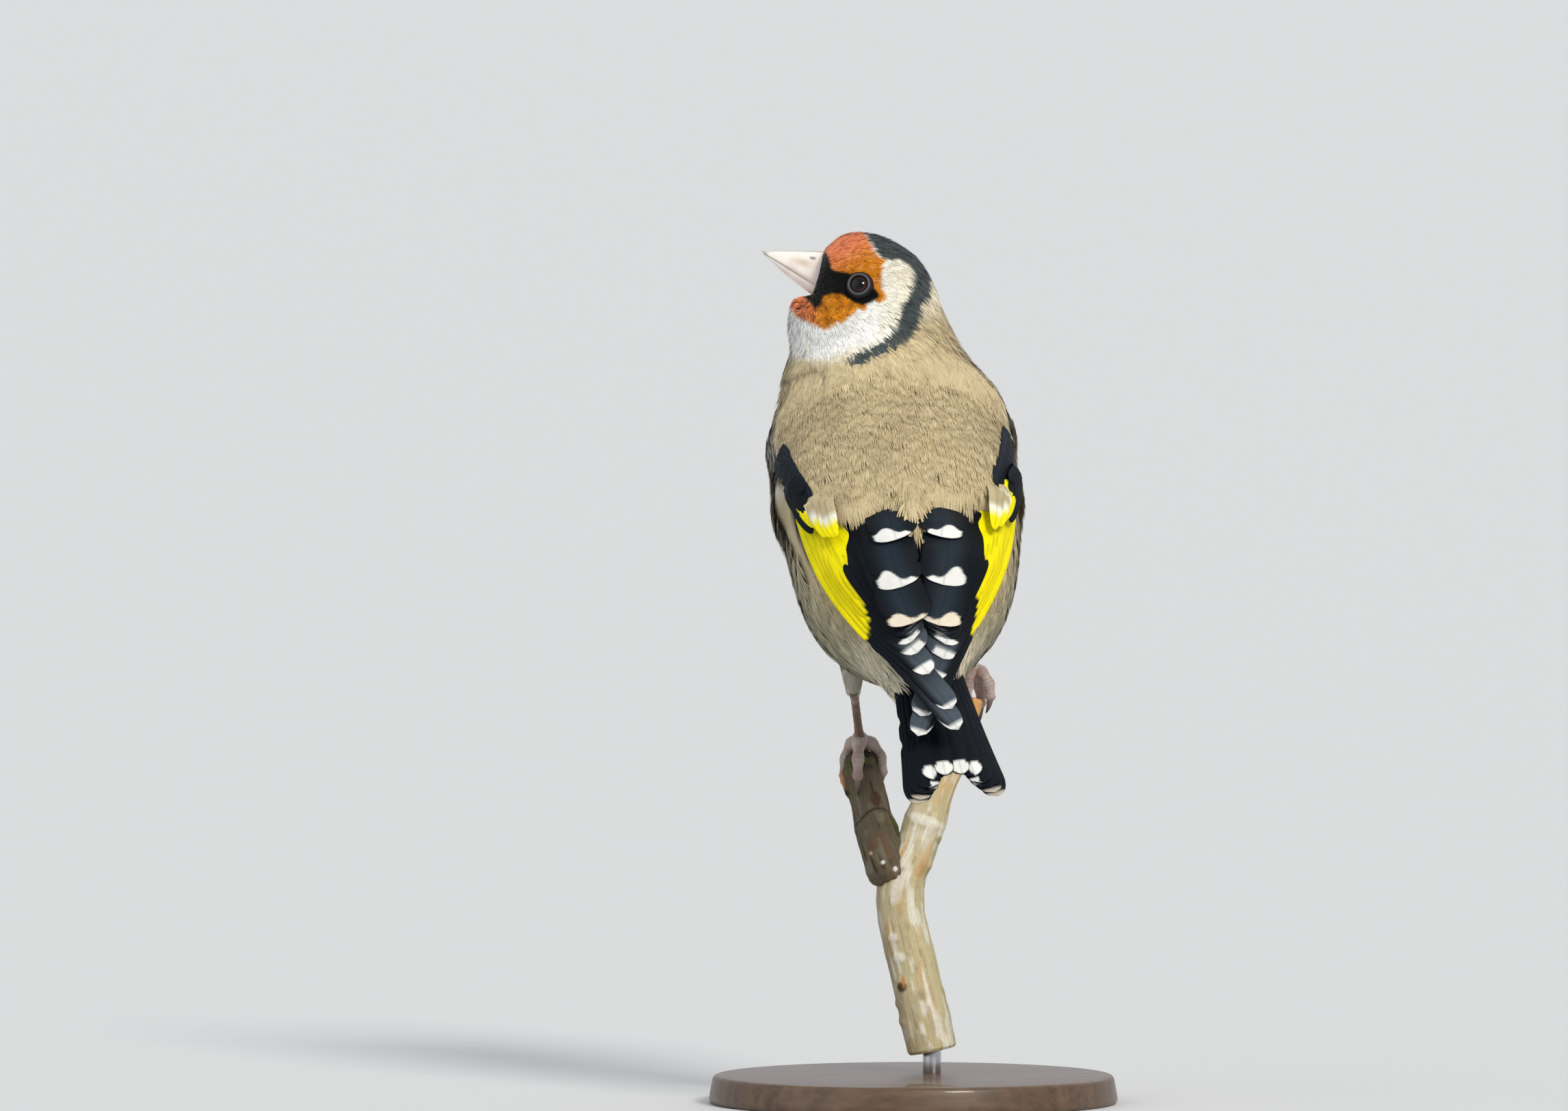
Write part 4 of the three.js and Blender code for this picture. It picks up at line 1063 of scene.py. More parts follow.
def tail_feathers(seed):
    generator = np.random.default_rng(seed)
    made = []
    for side in (1, -1):
        for i, (across, half, length, _) in enumerate(RECTRICES):
            lift = 1.6 - 0.34 * (i + (0.5 if side < 0 else 0))
            start = tail_frame.place(6, side * (0.6 + 0.45 * i), lift)
            end = tail_frame.place(-length, side * (across - 0.3), lift)
            made.append(feather(tail_flat, start, end, half, lift, rectrix(i), generator, bow=-0.15 * i,
                                bow_side=side, tip=0.075 if i < 4 else 0.1, root_lift=lift, outer=0.85,
                                camber=0.5, grid=(64, 19)))
    return made


tail_piece = assemble("tail_feathers", tail_feathers(310), VANE_MAT, "plumage_black")
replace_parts(tail_piece, "tail")


# Bill and eyes
def tinted_material(name, roughness, specular, low, scale, bump, distance, stretch=None, coat_weight=0.0,
                    spread=0.1):
    """Vertex colours under a fine mottle, with roughness and bump from noise."""
    m = Nodes(name, roughness=roughness, specular=specular, coat=coat_weight)
    grain = m.noise(scale, 4, stretch)
    mottle = m.ramp(grain, (0.3, (low, low, low)), (0.7, (1.0, 1.0, 1.0)))
    m.colour(m.mix(1.0, m.tint(), mottle, "MULTIPLY"))
    m.rough(m.noise(scale * 2.3, 3), roughness - spread, roughness + spread)
    m.bump(grain, bump, distance)
    return m.material


HORN_MAT = tinted_material("horn", 0.38, 0.45, 0.9, 700, 0.2, 0.00008, (1, 1, 1), 0.15)
BILL_ROWS, BILL_SIDES = 60, 48
BILL_PALE, BILL_PINK = srgb(240, 232, 224), srgb(224, 200, 190)
BILL_DARK, BILL_TAN = srgb(70, 74, 84), srgb(176, 142, 100)
# The dark of the nostril's opening, painted as shade.
NOSTRIL_HOLE_SHADE = srgb(60, 40, 34)
BILL_START = 6.5
MOUTH_GAP = 0.05


def bill_line(edge, forward):
    """The height of one of the bill's edges, which run straight to its tip."""
    f, u = BILL[edge]
    t = np.minimum((forward - f) / (BILL["tip"][0] - f), 1)
    return u + (BILL["tip"][1] - u) * t


def mandible(upper):
    """One half of the bill: rings from inside the face to the tip, flat along the mouth line."""
    end = BILL["tip"][0] - (0 if upper else 0.5)
    forward = BILL_START + (end - BILL_START) * (1 - (1 - np.linspace(0, 1, BILL_ROWS)) ** 1.25)
    t = np.clip((forward - BILL["gape"][0]) / (BILL["tip"][0] - BILL["gape"][0]), 0, 1)
    gap = MOUTH_GAP if upper else -MOUTH_GAP
    mouth = bill_line("gape", forward) + gap
    swell = np.sin(np.pi * t)
    far = bill_line("culmen", forward) + 0.18 * swell if upper else bill_line("chin", forward) - 0.42 * swell
    depth = np.maximum(np.abs(far - mouth), 0.12)
    wide = BILL["width"] * (1 - t) ** 0.85 * (1.0 if upper else 0.9) + 0.12
    angle = 2 * np.pi * np.arange(BILL_SIDES) / BILL_SIDES
    rise = np.where(np.sin(angle) > 0, np.abs(np.sin(angle)) ** 0.85, -0.05 * np.abs(np.sin(angle)))
    across = wide[:, None] * np.sign(np.cos(angle)) * np.abs(np.cos(angle)) ** 1.15
    up = mouth[:, None] + rise[None, :] * depth[:, None] * (1 if upper else -1)
    where = np.broadcast_to(forward[:, None], up.shape)
    if upper:
        pit = np.exp(-((where - 12.6) / 0.75) ** 2 - ((up - 1.6) / 0.42) ** 2)
        across = across * (1 - 0.16 * pit)
    points = head.at + where[..., None] * head.axes[0] + across[..., None] * head.axes[1]
    points = (points + up[..., None] * head.axes[2]).reshape(-1, 3)
    tip = head.place(end + 0.12, 0, float(mouth[-1]) + gap)
    points = np.concatenate([points, tip[None]])
    faces = grid_faces(BILL_ROWS, BILL_SIDES, wrap=True)
    cap = fan((BILL_ROWS - 1) * BILL_SIDES, BILL_SIDES, len(points) - 1)
    back = fan(0, BILL_SIDES, 0, under=True)[1:-1]
    if not upper:
        faces, cap, back = faces[:, ::-1], cap[:, ::-1], back[:, ::-1]
    tt = np.repeat(t, BILL_SIDES)
    ridge = np.tile(np.clip(np.sin(angle), 0, 1), BILL_ROWS)
    cloud = wobble(points[:-1], 1.3, 9.0)
    tint = blend_in(BILL_PALE, BILL_PINK, 0.55 * smooth(cloud, -0.3, 0.8) + 0.25 * smooth(0.25 - tt, 0, 0.25))
    if upper:
        tint = blend_in(tint, BILL_DARK, smooth(ridge, 0.93, 0.995) * 0.75)
        groove = np.exp(-((tt - 0.36) / 0.16) ** 2 - ((ridge - 0.45) / 0.16) ** 2)
        tint = blend_in(tint, BILL_TAN, 0.6 * groove)
        # The nostril: painted shade standing for the dark inside its opening, over a shallow dent.
        tint = blend_in(tint, NOSTRIL_HOLE_SHADE, 0.85 * smooth(pit.ravel(), 0.35, 0.8))
    tint = blend_in(tint, BILL_DARK, smooth(tt, 0.86, 0.98) * 0.75)
    tint = blend_in(tint, BILL_TAN * 0.8, 0.35 * smooth(0.08 - ridge, 0, 0.08))
    tint = np.concatenate([tint, BILL_DARK[None]])
    around = np.tile(np.arange(BILL_SIDES) / BILL_SIDES, BILL_ROWS)
    uv = inset(np.stack([np.append(tt, 1), np.append(around, 0.5)], -1))
    node = "bill_upper" if upper else "bill_lower"
    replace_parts(new_mesh(f"{node}_horn", points, [faces, cap, back], tint, uv, HORN_MAT, "horn"), node)


mandible(True)
mandible(False)

LID_MAT = tinted_material("eyelid", 0.55, 0.3, 0.8, 900, 0.4, 0.00008)
EYE_MAT = tinted_material("eyeball", 0.07, 0.3, 0.85, 800, 0.02, 0.00001, None, 0.0, 0.03)
LID_PROFILE = [(2.5, -0.9), (2.36, -0.3), (2.22, 0.0), (2.08, 0.14), (1.98, 0.18), (1.9, 0.29), (1.82, 0.32),
               (1.74, 0.25), (1.7, 0.31), (1.64, 0.34), (1.58, 0.27), (1.54, 0.1), (1.5, -0.25)]
LID_GREY, LID_PALE, LID_DARK = srgb(58, 58, 62), srgb(98, 98, 102), srgb(16, 15, 17)
IRIS, PUPIL, EYE_BACK = srgb(44, 22, 12), srgb(3, 3, 4), srgb(6, 5, 5)
LID_ROWS, LID_SIDES = 40, 96
EYE_ROWS, EYE_SIDES = 48, 64


def revolve(profile_points, columns, axis, at, ripple=0.0):
    """Rings round an axis from (radius, height) pairs."""
    across = unit(np.cross(axis, [0.0, 0.0, 1.0] if abs(axis[2]) < 0.9 else [0.0, 1.0, 0.0]))
    over = np.cross(axis, across)
    angle = 2 * np.pi * np.arange(columns) / columns
    pairs = np.array(profile_points)
    wave = 1 + ripple * np.sin(9 * angle + 1) * np.sin(14 * angle)
    radius = pairs[:, :1] * wave[None, :]
    ring = across * np.cos(angle)[:, None] + over * np.sin(angle)[:, None]
    points = at + radius[..., None] * ring[None] + (pairs[:, 1:2] * np.ones(columns))[..., None] * axis
    u, v = np.linspace(0.02, 0.98, columns), np.linspace(0.02, 0.98, len(pairs))
    uv = np.stack(np.broadcast_arrays(u[None], v[:, None]), -1)
    return points.reshape(-1, 3), grid_faces(len(pairs), columns, wrap=True), uv.reshape(-1, 2)


for side, label in ((1, "left"), (-1, "right")):
    at, normal = eye_places[side]
    coarse = np.array(LID_PROFILE)
    steps = np.linspace(0, len(coarse) - 1, LID_ROWS)
    fine = np.stack([np.interp(steps, np.arange(len(coarse)), coarse[:, i]) for i in range(2)], -1)
    points, faces, uv = revolve(fine, LID_SIDES, normal, at, 0.012)
    radius = np.repeat(fine[:, 0], LID_SIDES)
    tone = smooth(np.sin(radius * 21), -0.6, 0.8)
    tint = blend_in(LID_GREY, LID_PALE, tone * smooth(2.15 - radius, 0, 0.3))
    tint = blend_in(tint, LID_DARK, smooth(radius, 1.92, 2.1))
    tint = blend_in(tint, LID_DARK, smooth(1.62 - radius, 0, 0.06))
    new_mesh(f"eyelid_{label}", points, faces, tint, uv, LID_MAT, "plumage_face")
    centre = at - normal * EYE_AT["inset"]
    polar = np.radians(np.linspace(110, 0.5, EYE_ROWS))
    ball_profile = np.stack([EYE_AT["radius"] * np.sin(polar), EYE_AT["radius"] * np.cos(polar)], -1)
    points, faces, uv = revolve(ball_profile, EYE_SIDES, normal, centre)
    degrees = np.repeat(np.degrees(polar), EYE_SIDES)
    tint = blend_in(IRIS, PUPIL, smooth(27 - degrees, -2, 2))
    tint = blend_in(tint, EYE_BACK, smooth(degrees, 36, 41))
    cap = fan(len(points) - EYE_SIDES, EYE_SIDES, len(points))
    points = np.concatenate([points, (centre + normal * EYE_AT["radius"])[None]])
    eyeball = new_mesh(f"eyeball_{label}", points, [faces, cap], np.concatenate([tint, tint[-1:]]),
                       np.concatenate([uv, [[0.5, 0.98]]]), EYE_MAT, "eye_gloss")
    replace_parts(eyeball, f"eye_{label}")


# Legs and feet
LEG_MAT = tinted_material("leg_skin", 0.55, 0.3, 0.8, 900, 0.35, 0.0001)
CLAW_MAT = tinted_material("claw_horn", 0.35, 0.45, 0.75, 1500, 0.15, 0.00005, None, 0.2)
LEG_PALE, LEG_PINK, LEG_DARK = srgb(180, 166, 158), srgb(166, 138, 130), srgb(98, 76, 60)
CLAW_ROOT, CLAW_TIP = srgb(112, 96, 88), srgb(48, 40, 38)
# Where each ankle and foot is, which way its four toes point, and how far they reach out and down the twig
LEGS = {
    "left": {"ankle": (-10.6, -6, 73.6), "foot": (-9.4, 4.8, 63.8),
             "toes": (-95, 20, 75, 130), "drape": (4.2, 7)},
    "right": {"ankle": (9.6, -1, 79), "foot": (10.3, 4, 76.4),
              "toes": (-105, -10, 60, 120), "drape": (3.3, 6.0)},
}
HIDDEN_ANKLE = np.array((9.6, -6.5, 83.6))
TOE = {"thick": 1.25, "thin": 0.9, "turn": 100, "claw": 30}
TOE_LENGTHS = (0.85, 0.8, 1, 0.9)
TARSUS_ROWS, TARSUS_SIDES, TARSUS_SCALES = 70, 20, 9
TOE_ROWS, TOE_SIDES, TOE_SCALES = 64, 20, 13
CLAW_ROWS, CLAW_SIDES = 30, 16


def tube(path, radius, sides, rough=1.0):
    """A closed tube round a path. radius is one value a row; rough multiplies it by place and angle."""
    path = np.asarray(path, float)
    rows = len(path)
    ahead = unit(np.gradient(path, axis=0))
    side = np.zeros_like(path)
    start = np.array([0.0, 1.0, 0.0]) if abs(ahead[0][1]) < 0.9 else np.array([1.0, 0.0, 0.0])
    for i in range(rows):
        start = unit(start - ahead[i] * (start @ ahead[i]))
        side[i] = start
    over = np.cross(ahead, side)
    turn = np.arange(sides) / sides
    angle = 2 * np.pi * np.arange(sides) / sides
    r = np.asarray(radius, float)[:, None] * rough
    ring = side[:, None] * np.cos(angle)[:, None] + over[:, None] * np.sin(angle)[:, None]
    points = (path[:, None] + r[..., None] * ring).reshape(-1, 3)
    count = len(points)
    caps = np.concatenate([fan(0, sides, count, under=True), fan((rows - 1) * sides, sides, count + 1)])
    uv = np.stack(np.meshgrid(np.linspace(0, 1, rows), turn, indexing="ij"), -1).reshape(-1, 2)
    points = np.concatenate([points, path[:1], path[-1:]])
    return points, grid_faces(rows, sides, wrap=True), caps, np.concatenate([uv, [[0, 0.5], [1, 0.5]]])


def join(name, parts, tints, material, slot):
    """One mesh from several tubes, each with its own strip of the unwrap."""
    start, points, quads, caps, uv = 0, [], [], [], []
    for i, (p, f, c, coords) in enumerate(parts):
        points.append(p)
        quads.append(f + start)
        caps.append(c + start)
        uv.append(np.stack([coords[:, 0] * 0.96 + 0.02, (i + 0.04 + 0.92 * coords[:, 1]) / len(parts)], -1))
        start += len(p)
    points, quads, caps, tints, uv = (np.concatenate(part) for part in (points, quads, caps, tints, uv))
    return new_mesh(name, points, [quads, caps], tints, uv, material, slot)


def scutes(t, count, depth=0.07):
    """Overlapping scales: a saw of small steps along a leg or toe."""
    saw = (t * count) % 1.0
    return 1 + depth * (saw - 0.5) * smooth(saw, 0.0, 0.08)


def skin_tint(points, t, count, warm):
    saw = (t * count) % 1.0
    tint = blend_in(LEG_PALE, LEG_PINK, smooth(wobble(points, 1.1, 4.0), -0.5, 0.7))
    tint = blend_in(tint, LEG_DARK, warm * smooth(wobble(points, 0.9, 7.0), -1.8, 0.3))
    return blend_in(tint, LEG_DARK, 0.5 * smooth(0.14 - saw, 0, 0.12))


def toe_path(leg, azimuth, low, high, scale, rows):
    turn = np.radians(np.linspace(low, high, rows))[:, None]
    way = np.array([math.cos(math.radians(azimuth)), math.sin(math.radians(azimuth)), 0])
    out, down = leg["drape"]
    sunk = np.array([0, 0, down * scale]) * (1 - np.cos(turn))
    return np.array(leg["foot"]) + way * out * np.sin(turn) - sunk


def with_caps(values):
    """A tube's values with one more for the middle of each end."""
    return np.concatenate([values, values[:1], values[-1:]])


for label, leg in LEGS.items():
    ankle, foot = np.array(leg["ankle"], float), np.array(leg["foot"], float)
    top = ankle if label == "left" else HIDDEN_ANKLE
    t = np.linspace(0, 1, TARSUS_ROWS)
    path = top + (foot - top) * t[:, None]
    path = np.concatenate([(top + (top - foot) * 0.03)[None], path])
    t = np.append(0.0, t)
    radius = (0.72 + 0.4 * np.abs(2 * t - 1) ** 4) * scutes(t, TARSUS_SCALES)
    shin = tube(path, radius, TARSUS_SIDES)
    tint = skin_tint(shin[0], with_caps(np.repeat(t, TARSUS_SIDES)), TARSUS_SCALES, 0.9)
    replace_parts(join(f"tarsus_scales_{label}", [shin], [tint], LEG_MAT, "leg_skin"), f"tarsus_{label}")
    turn = np.linspace(0, np.pi, 14)
    knuckle = foot - np.array([0, 0, 1.0]) * (np.cos(turn) * 1.5)[:, None]
    ball = tube(knuckle[::-1], np.maximum(1.55 * np.sin(turn), 0.02), 24)
    parts, tints = [ball], [skin_tint(ball[0], np.full(len(ball[0]), 0.5), 1, 0.0)]
    for i, (azimuth, scale) in enumerate(zip(leg["toes"], TOE_LENGTHS)):
        t = np.linspace(0, 1, TOE_ROWS)
        path = toe_path(leg, azimuth, 0, TOE["turn"], scale, TOE_ROWS)
        pads = 1 + 0.13 * np.cos(2 * np.pi * 3 * t + 0.5)
        radius = (TOE["thick"] + (TOE["thin"] - TOE["thick"]) * t) * pads * scutes(t, TOE_SCALES, depth=0.08)
        radius = radius * np.sqrt(np.clip((1.03 - t) / 0.1, 0.1, 1))
        toe = tube(path, radius, TOE_SIDES)
        parts.append(toe)
        tints.append(skin_tint(toe[0], with_caps(np.repeat(t, TOE_SIDES)), TOE_SCALES, 0.15))
        path = toe_path(leg, azimuth, TOE["turn"] - 3, TOE["turn"] + TOE["claw"], scale, CLAW_ROWS)
        t = np.linspace(0, 1, CLAW_ROWS)
        claw = tube(path, 0.56 * (1 - t) ** 0.7 + 0.05, CLAW_SIDES)
        tint = blend_in(CLAW_ROOT, CLAW_TIP, smooth(with_caps(np.repeat(t, CLAW_SIDES)), 0.1, 0.9))
        piece = join(f"claw_horn_{label}_{i + 1}", [claw], [tint], CLAW_MAT, "claw_horn")
        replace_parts(piece, f"claw_{label}_{i + 1}")
    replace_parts(join(f"toes_{label}", parts, tints, LEG_MAT, "leg_skin"), f"foot_{label}")


def cone(start, end, radii):
    """A tapering round limb's field: below zero inside it."""
    start, end = np.array(start, float), np.array(end, float)

    def field(p):
        t = np.clip((p - start) @ (end - start) / ((end - start) @ (end - start)), 0, 1)
        radius = radii[0] + (radii[1] - radii[0]) * t ** 0.8
        return np.linalg.norm(p - start - t[..., None] * (end - start), axis=-1) - radius

    return field


DOWN_PALE, DOWN_DARK, DOWN_TIPS = srgb(188, 184, 168), srgb(148, 140, 120), srgb(226, 222, 208)


def shank_colour(p):
    """Whitish grey down with darker and paler patches."""
    tint = blend_in(DOWN_PALE, DOWN_DARK, smooth(wobble(p, 1.4, 4.0), -0.2, 0.8))
    return blend_in(tint, DOWN_TIPS, 0.6 * smooth(wobble(p, 0.8, 1.0), 0.1, 0.8))


def shank_feathers(label, start, end, radii, count, seed):
    """Downy feathers down the shank, from inside the belly's coat to the ankle."""
    generator = np.random.default_rng(seed)
    field = cone(start, end, radii)
    start, end = np.array(start, float), np.array(end, float)
    axis = unit(end - start)
    side = unit(np.cross(axis, [0.0, 1.0, 0.1]))
    over = np.cross(axis, side)
    t, angle = generator.random(count) ** 0.8, generator.uniform(0, 2 * np.pi, count)
    out = side * np.cos(angle)[:, None] + over * np.sin(angle)[:, None]
    roots = reach(field, start + (end - start) * (t * 0.92)[:, None], out, -0.35, 8.0)
    uv = np.stack([0.02 + 0.96 * angle / (2 * np.pi), 0.02 + 0.96 * t], -1)

    def heading(p, n):
        return unit(axis - (axis * n).sum(1, keepdims=True) * n)

    tufts(f"coat_shank_{label}", roots, uv, "plumage_buff", seed + 1, colour=shank_colour, field=field,
          long=2.4 - 1.0 * t, heading=heading, lift=(0.15, 0.5))


shank_feathers("left", (-10.8, -3, 84), (-10.6, -6.3, 72.4), (4.2, 1.0), 1800, 410)
shank_feathers("right", (9.7, -3.2, 85), (9.9, 0.6, 78.8), (4.0, 1.5), 900, 420)


# Twig and stand
PALE_LIMB = [(3.3, 3, 9.0), (2.4, 3, 13.4), (-0.4, 3.2, 25.4), (-2.2, 3.4, 33.5), (-1.9, 3.6, 39.6),
             (0.3, 3.8, 44.2), (2.1, 4, 49.5), (4.4, 4.2, 55.6), (8.4, 4.2, 63), (10.8, 4.1, 71.2)]
STUB = [(-3.4, 2.7, 38.4), (-4.2, 2.9, 41), (-5.5, 3.5, 44.5), (-7.3, 4.2, 50.5), (-8.8, 4.8, 57),
        (-9.5, 5, 61.6)]
# The radius of each length of twig at some of its heights
PALE_RADII = ([9, 9.5, 12, 22, 34, 40, 44, 47, 49.5, 53, 57, 63, 67.2, 67.5, 70.9, 71.2],
              [4.0, 4.35, 4.4, 4.3, 4.25, 4.2, 3.7, 3.6, 3.85, 3.3, 2.9, 2.3, 2.0, 1.75, 1.6, 1.2])
STUB_RADII = ([38.4, 38.7, 39.3, 40.3, 41.8, 45, 50, 53.5, 57.5, 60.3, 61.3, 61.6],
              [1.2, 2.6, 3.4, 3.85, 4.0, 3.65, 3.3, 3.2, 3.15, 3.0, 2.2, 1.0])
STRAW, OCHRE, SILVER = srgb(190, 178, 142), srgb(200, 158, 102), srgb(224, 220, 206)
MOSS, GREYBARK, DARKBARK = srgb(138, 140, 96), srgb(98, 89, 74), srgb(44, 36, 27)


def curve(points, rows):
    """A smooth line that passes through each of the points."""
    p = np.array(points, float)
    p = np.concatenate([[2 * p[0] - p[1]], p, [2 * p[-1] - p[-2]]])
    spans = len(p) - 3
    at = np.linspace(0, spans, rows)
    i = np.minimum(at.astype(int), spans - 1)
    t = (at - i)[:, None]
    a, b, c, d = p[i], p[i + 1], p[i + 2], p[i + 3]
    square, cube = 2 * a - 5 * b + 4 * c - d, 3 * b - a - 3 * c + d
    return 0.5 * (2 * b + (c - a) * t + square * t ** 2 + cube * t ** 3)


def bark_material():
    m = Nodes("bark", roughness=0.8, specular=0.15)
    streak = m.noise(3.2, 5, (1.0, 22.0, 1.0), "UV")
    grain = m.noise(1500, 3)
    shade = m.ramp(streak, (0.3, (0.8, 0.77, 0.72)), (0.5, (0.96, 0.95, 0.93)), (0.72, (1.0, 1.0, 1.0)))
    fleck = m.ramp(grain, (0.3, (0.88, 0.87, 0.85)), (0.6, (1.0, 1.0, 1.0)))
    m.colour(m.mix(1.0, m.mix(1.0, m.tint(), shade, "MULTIPLY"), fleck, "MULTIPLY"))
    m.rough(grain, 0.65, 0.95)
    m.bump(grain, 0.4, 0.0001)
    return m.material


BARK_MAT = bark_material()
NOISE_ROWS = 128


def cell_noise(along, around, step, count, seed):
    """Smooth seeded noise from -1 to 1 on a limb: cells step millimetres long, count of them round it."""
    grid = np.random.default_rng(seed).uniform(-1, 1, (NOISE_ROWS, count))
    i, k = along / step, around / (2 * np.pi) * count
    row, column = np.floor(i).astype(int), np.floor(k).astype(int)
    a, b = smooth(i - row, 0, 1), smooth(k - column, 0, 1)
    corner = [[grid[(row + y) % NOISE_ROWS, (column + x) % count] for x in (0, 1)] for y in (0, 1)]
    low, high = (left * (1 - b) + right * b for left, right in corner)
    return low * (1 - a) + high * a


def limb(name, nodes, points, radii, rows, sides, seed, ridges, paint, marks):
    """A length of twig. marks are (height, angle, length, width, rise, colour) of its knots and scars."""
    path = curve(points, rows)
    length = np.concatenate([[0], np.cumsum(np.linalg.norm(np.diff(path, axis=0), axis=1))])
    along, around = np.meshgrid(length, 2 * np.pi * np.arange(sides) / sides, indexing="ij")
    height = np.repeat(path[:, 2:], sides, axis=1)
    coarse, fine = cell_noise(along, around, 5.0, 26, seed), cell_noise(along, around, 1.6, 40, seed + 1)
    rise = ridges * (0.5 * coarse + 0.35 * fine + 0.5 * cell_noise(along, around, 3.0, 9, seed + 2))
    tint = paint(along, around, height)
    for z, angle, long, wide, lift, colour in marks:
        turn = (around - math.radians(angle) + np.pi) % (2 * np.pi) - np.pi
        near = np.exp(-((height - z) / long) ** 2 - (turn / wide) ** 2)
        rise = rise + lift * near
        if colour is not None:
            tint = blend_in(tint, colour, 0.9 * smooth(near, 0.25, 0.7))
    radius = np.interp(path[:, 2], *radii)
    bark = tube(path, radius, sides, 1 + rise / radius[:, None])
    piece = join(name, [bark], [with_caps(tint.reshape(-1, 3))], BARK_MAT, "bark")
    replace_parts(piece, *nodes)


def patches(along, around, step, count, seed, low, high):
    """0 to 1 over irregular patches of bark."""
    return smooth(cell_noise(along, around, step, count, seed), low, high)


def pale_bark(along, around, height):
    """Straw and ochre streaks under a silvery bloom, greener on the right side low down, and painted shade
    darkening the left side low down.
    """
    tint = blend_in(STRAW, OCHRE, 0.7 * patches(along, around, 7.0, 24, 11, 0.1, 0.7))
    tint = blend_in(tint, SILVER, 0.85 * patches(along, around, 4.0, 34, 12, 0.05, 0.6))
    tint = blend_in(tint, srgb(150, 128, 92), 0.5 * patches(along, around, 2.5, 44, 13, 0.45, 0.8))
    right = smooth(np.degrees(around), 205, 260) * smooth(60 - height, 0, 8)
    tint = blend_in(tint, MOSS, 0.5 * right * (0.7 + 0.3 * cell_noise(along, around, 3.0, 20, 14)))
    # Painted shade: the low left side of the stem, away from the key light, darkened to grey.
    left = smooth(140 - np.degrees(around), 0, 40) * smooth(42 - height, 0, 6)
    tint = blend_in(tint, srgb(126, 120, 106), 0.6 * left)
    fork = np.exp(-((height - 47.5) / 3.2) ** 2)
    tint = blend_in(tint, SILVER, 0.6 * fork * patches(along, around, 1.8, 18, 15, -0.5, 0.5))
    upper = 0.6 * smooth(height, 51, 57)
    tint = blend_in(tint, srgb(206, 164, 104), upper * patches(along, around, 8.0, 16, 16, -0.6, 0.6))
    return blend_in(tint, srgb(214, 160, 104), smooth(height, 67.2, 67.8))


def stub_bark(along, around, height):
    """Dark weathered bark with a crack, brown and green patches and a dark broken end."""
    tint = blend_in(GREYBARK, srgb(112, 84, 62), 0.7 * patches(along, around, 6.0, 8, 21, 0.0, 0.7))
    tint = blend_in(tint, srgb(122, 122, 104), 0.6 * patches(along, around, 2.0, 22, 22, 0.2, 0.8))
    tint = blend_in(tint, DARKBARK, 0.75 * patches(along, around, 3.5, 30, 23, 0.35, 0.75))
    crack = np.exp(-((height - 50.4 - 0.9 * np.sin(around * 2 + 1)) / 0.22) ** 2)
    tint = blend_in(tint, DARKBARK, np.maximum(crack, smooth(height, 57.5, 60)) * 0.85)
    upper = 0.6 * smooth(height, 53, 57)
    return blend_in(tint, srgb(104, 104, 66), upper * patches(along, around, 1.5, 14, 24, 0.0, 0.6))


PALE_MARKS = [
    (29.6, 150, 0.8, 0.25, 0.25, SILVER),
    (26.0, 152, 1.0, 0.3, 0.3, SILVER),
    (21.0, 142, 1.0, 0.28, 0.25, DARKBARK),
    (22.0, 150, 1.5, 0.07, 0.1, srgb(206, 128, 40)),
    (18.2, 100, 0.7, 0.35, 0.3, None),
    (15.0, 104, 0.9, 0.3, 0.3, None),
    (47.2, 250, 0.8, 0.4, 0.35, srgb(150, 140, 100)),
    (43.2, 245, 0.6, 0.25, 0.3, None),
    (49.6, 180, 1.0, 1.0, 0.1, SILVER),
]
STUB_MARKS = [
    (57.2, 98, 1.5, 0.4, 1.1, srgb(196, 142, 92)),
    (55.0, 105, 0.8, 0.4, 0.6, DARKBARK),
    (42.0, 172, 0.35, 0.1, 0.12, SPOT),
    (44.2, 148, 0.35, 0.1, 0.12, srgb(190, 170, 140)),
    (40.6, 196, 0.4, 0.12, 0.15, SPOT),
    (53.0, 205, 1.6, 0.35, 0.5, srgb(74, 54, 40)),
    (48.0, 262, 1.6, 0.5, 0.5, srgb(70, 88, 30)),
    (45.0, 265, 1.2, 0.4, 0.4, srgb(96, 110, 50)),
]
PALE_NODES = ("perch_stem", "perch_branch")
limb("pale_limb_bark", PALE_NODES, PALE_LIMB, PALE_RADII, 380, 120, 30, 0.16, pale_bark, PALE_MARKS)
limb("stub_bark", ("perch_stub",), STUB, STUB_RADII, 240, 110, 40, 0.5, stub_bark, STUB_MARKS)


def wood_material():
    m = Nodes("stand_wood", roughness=0.42, specular=0.4, coat=0.25)
    wave = m.noise(55, 6, (1.0, 9.0, 1.0))
    fine = m.noise(900, 3, (0.15, 1.0, 1.0))
    dark, brown, light = (0.045, 0.024, 0.012), (0.09, 0.05, 0.026), (0.15, 0.085, 0.045)
    bands = m.ramp(wave, (0.2, dark), (0.5, brown), (0.8, light))
    pores = m.ramp(fine, (0.3, (0.04, 0.022, 0.012)), (0.7, (0.16, 0.09, 0.05)))
    m.colour(m.mix(0.35, bands, pores))
    m.rough(fine, 0.35, 0.55)
    m.bump(fine, 0.15, 0.0001)
    return m.material


def steel_material():
    m = Nodes("stand_steel", roughness=0.3, specular=0.5)
    m.shader.inputs["Metallic"].default_value = 1.0
    brushed = m.noise(1800, 3, (1.0, 1.0, 0.03))
    m.colour(m.ramp(brushed, (0.3, (0.42, 0.43, 0.44)), (0.7, (0.62, 0.63, 0.64))))
    m.rough(brushed, 0.22, 0.4)
    m.bump(brushed, 0.1, 0.00005)
    return m.material


UP = np.array([0.0, 0.0, 1.0])
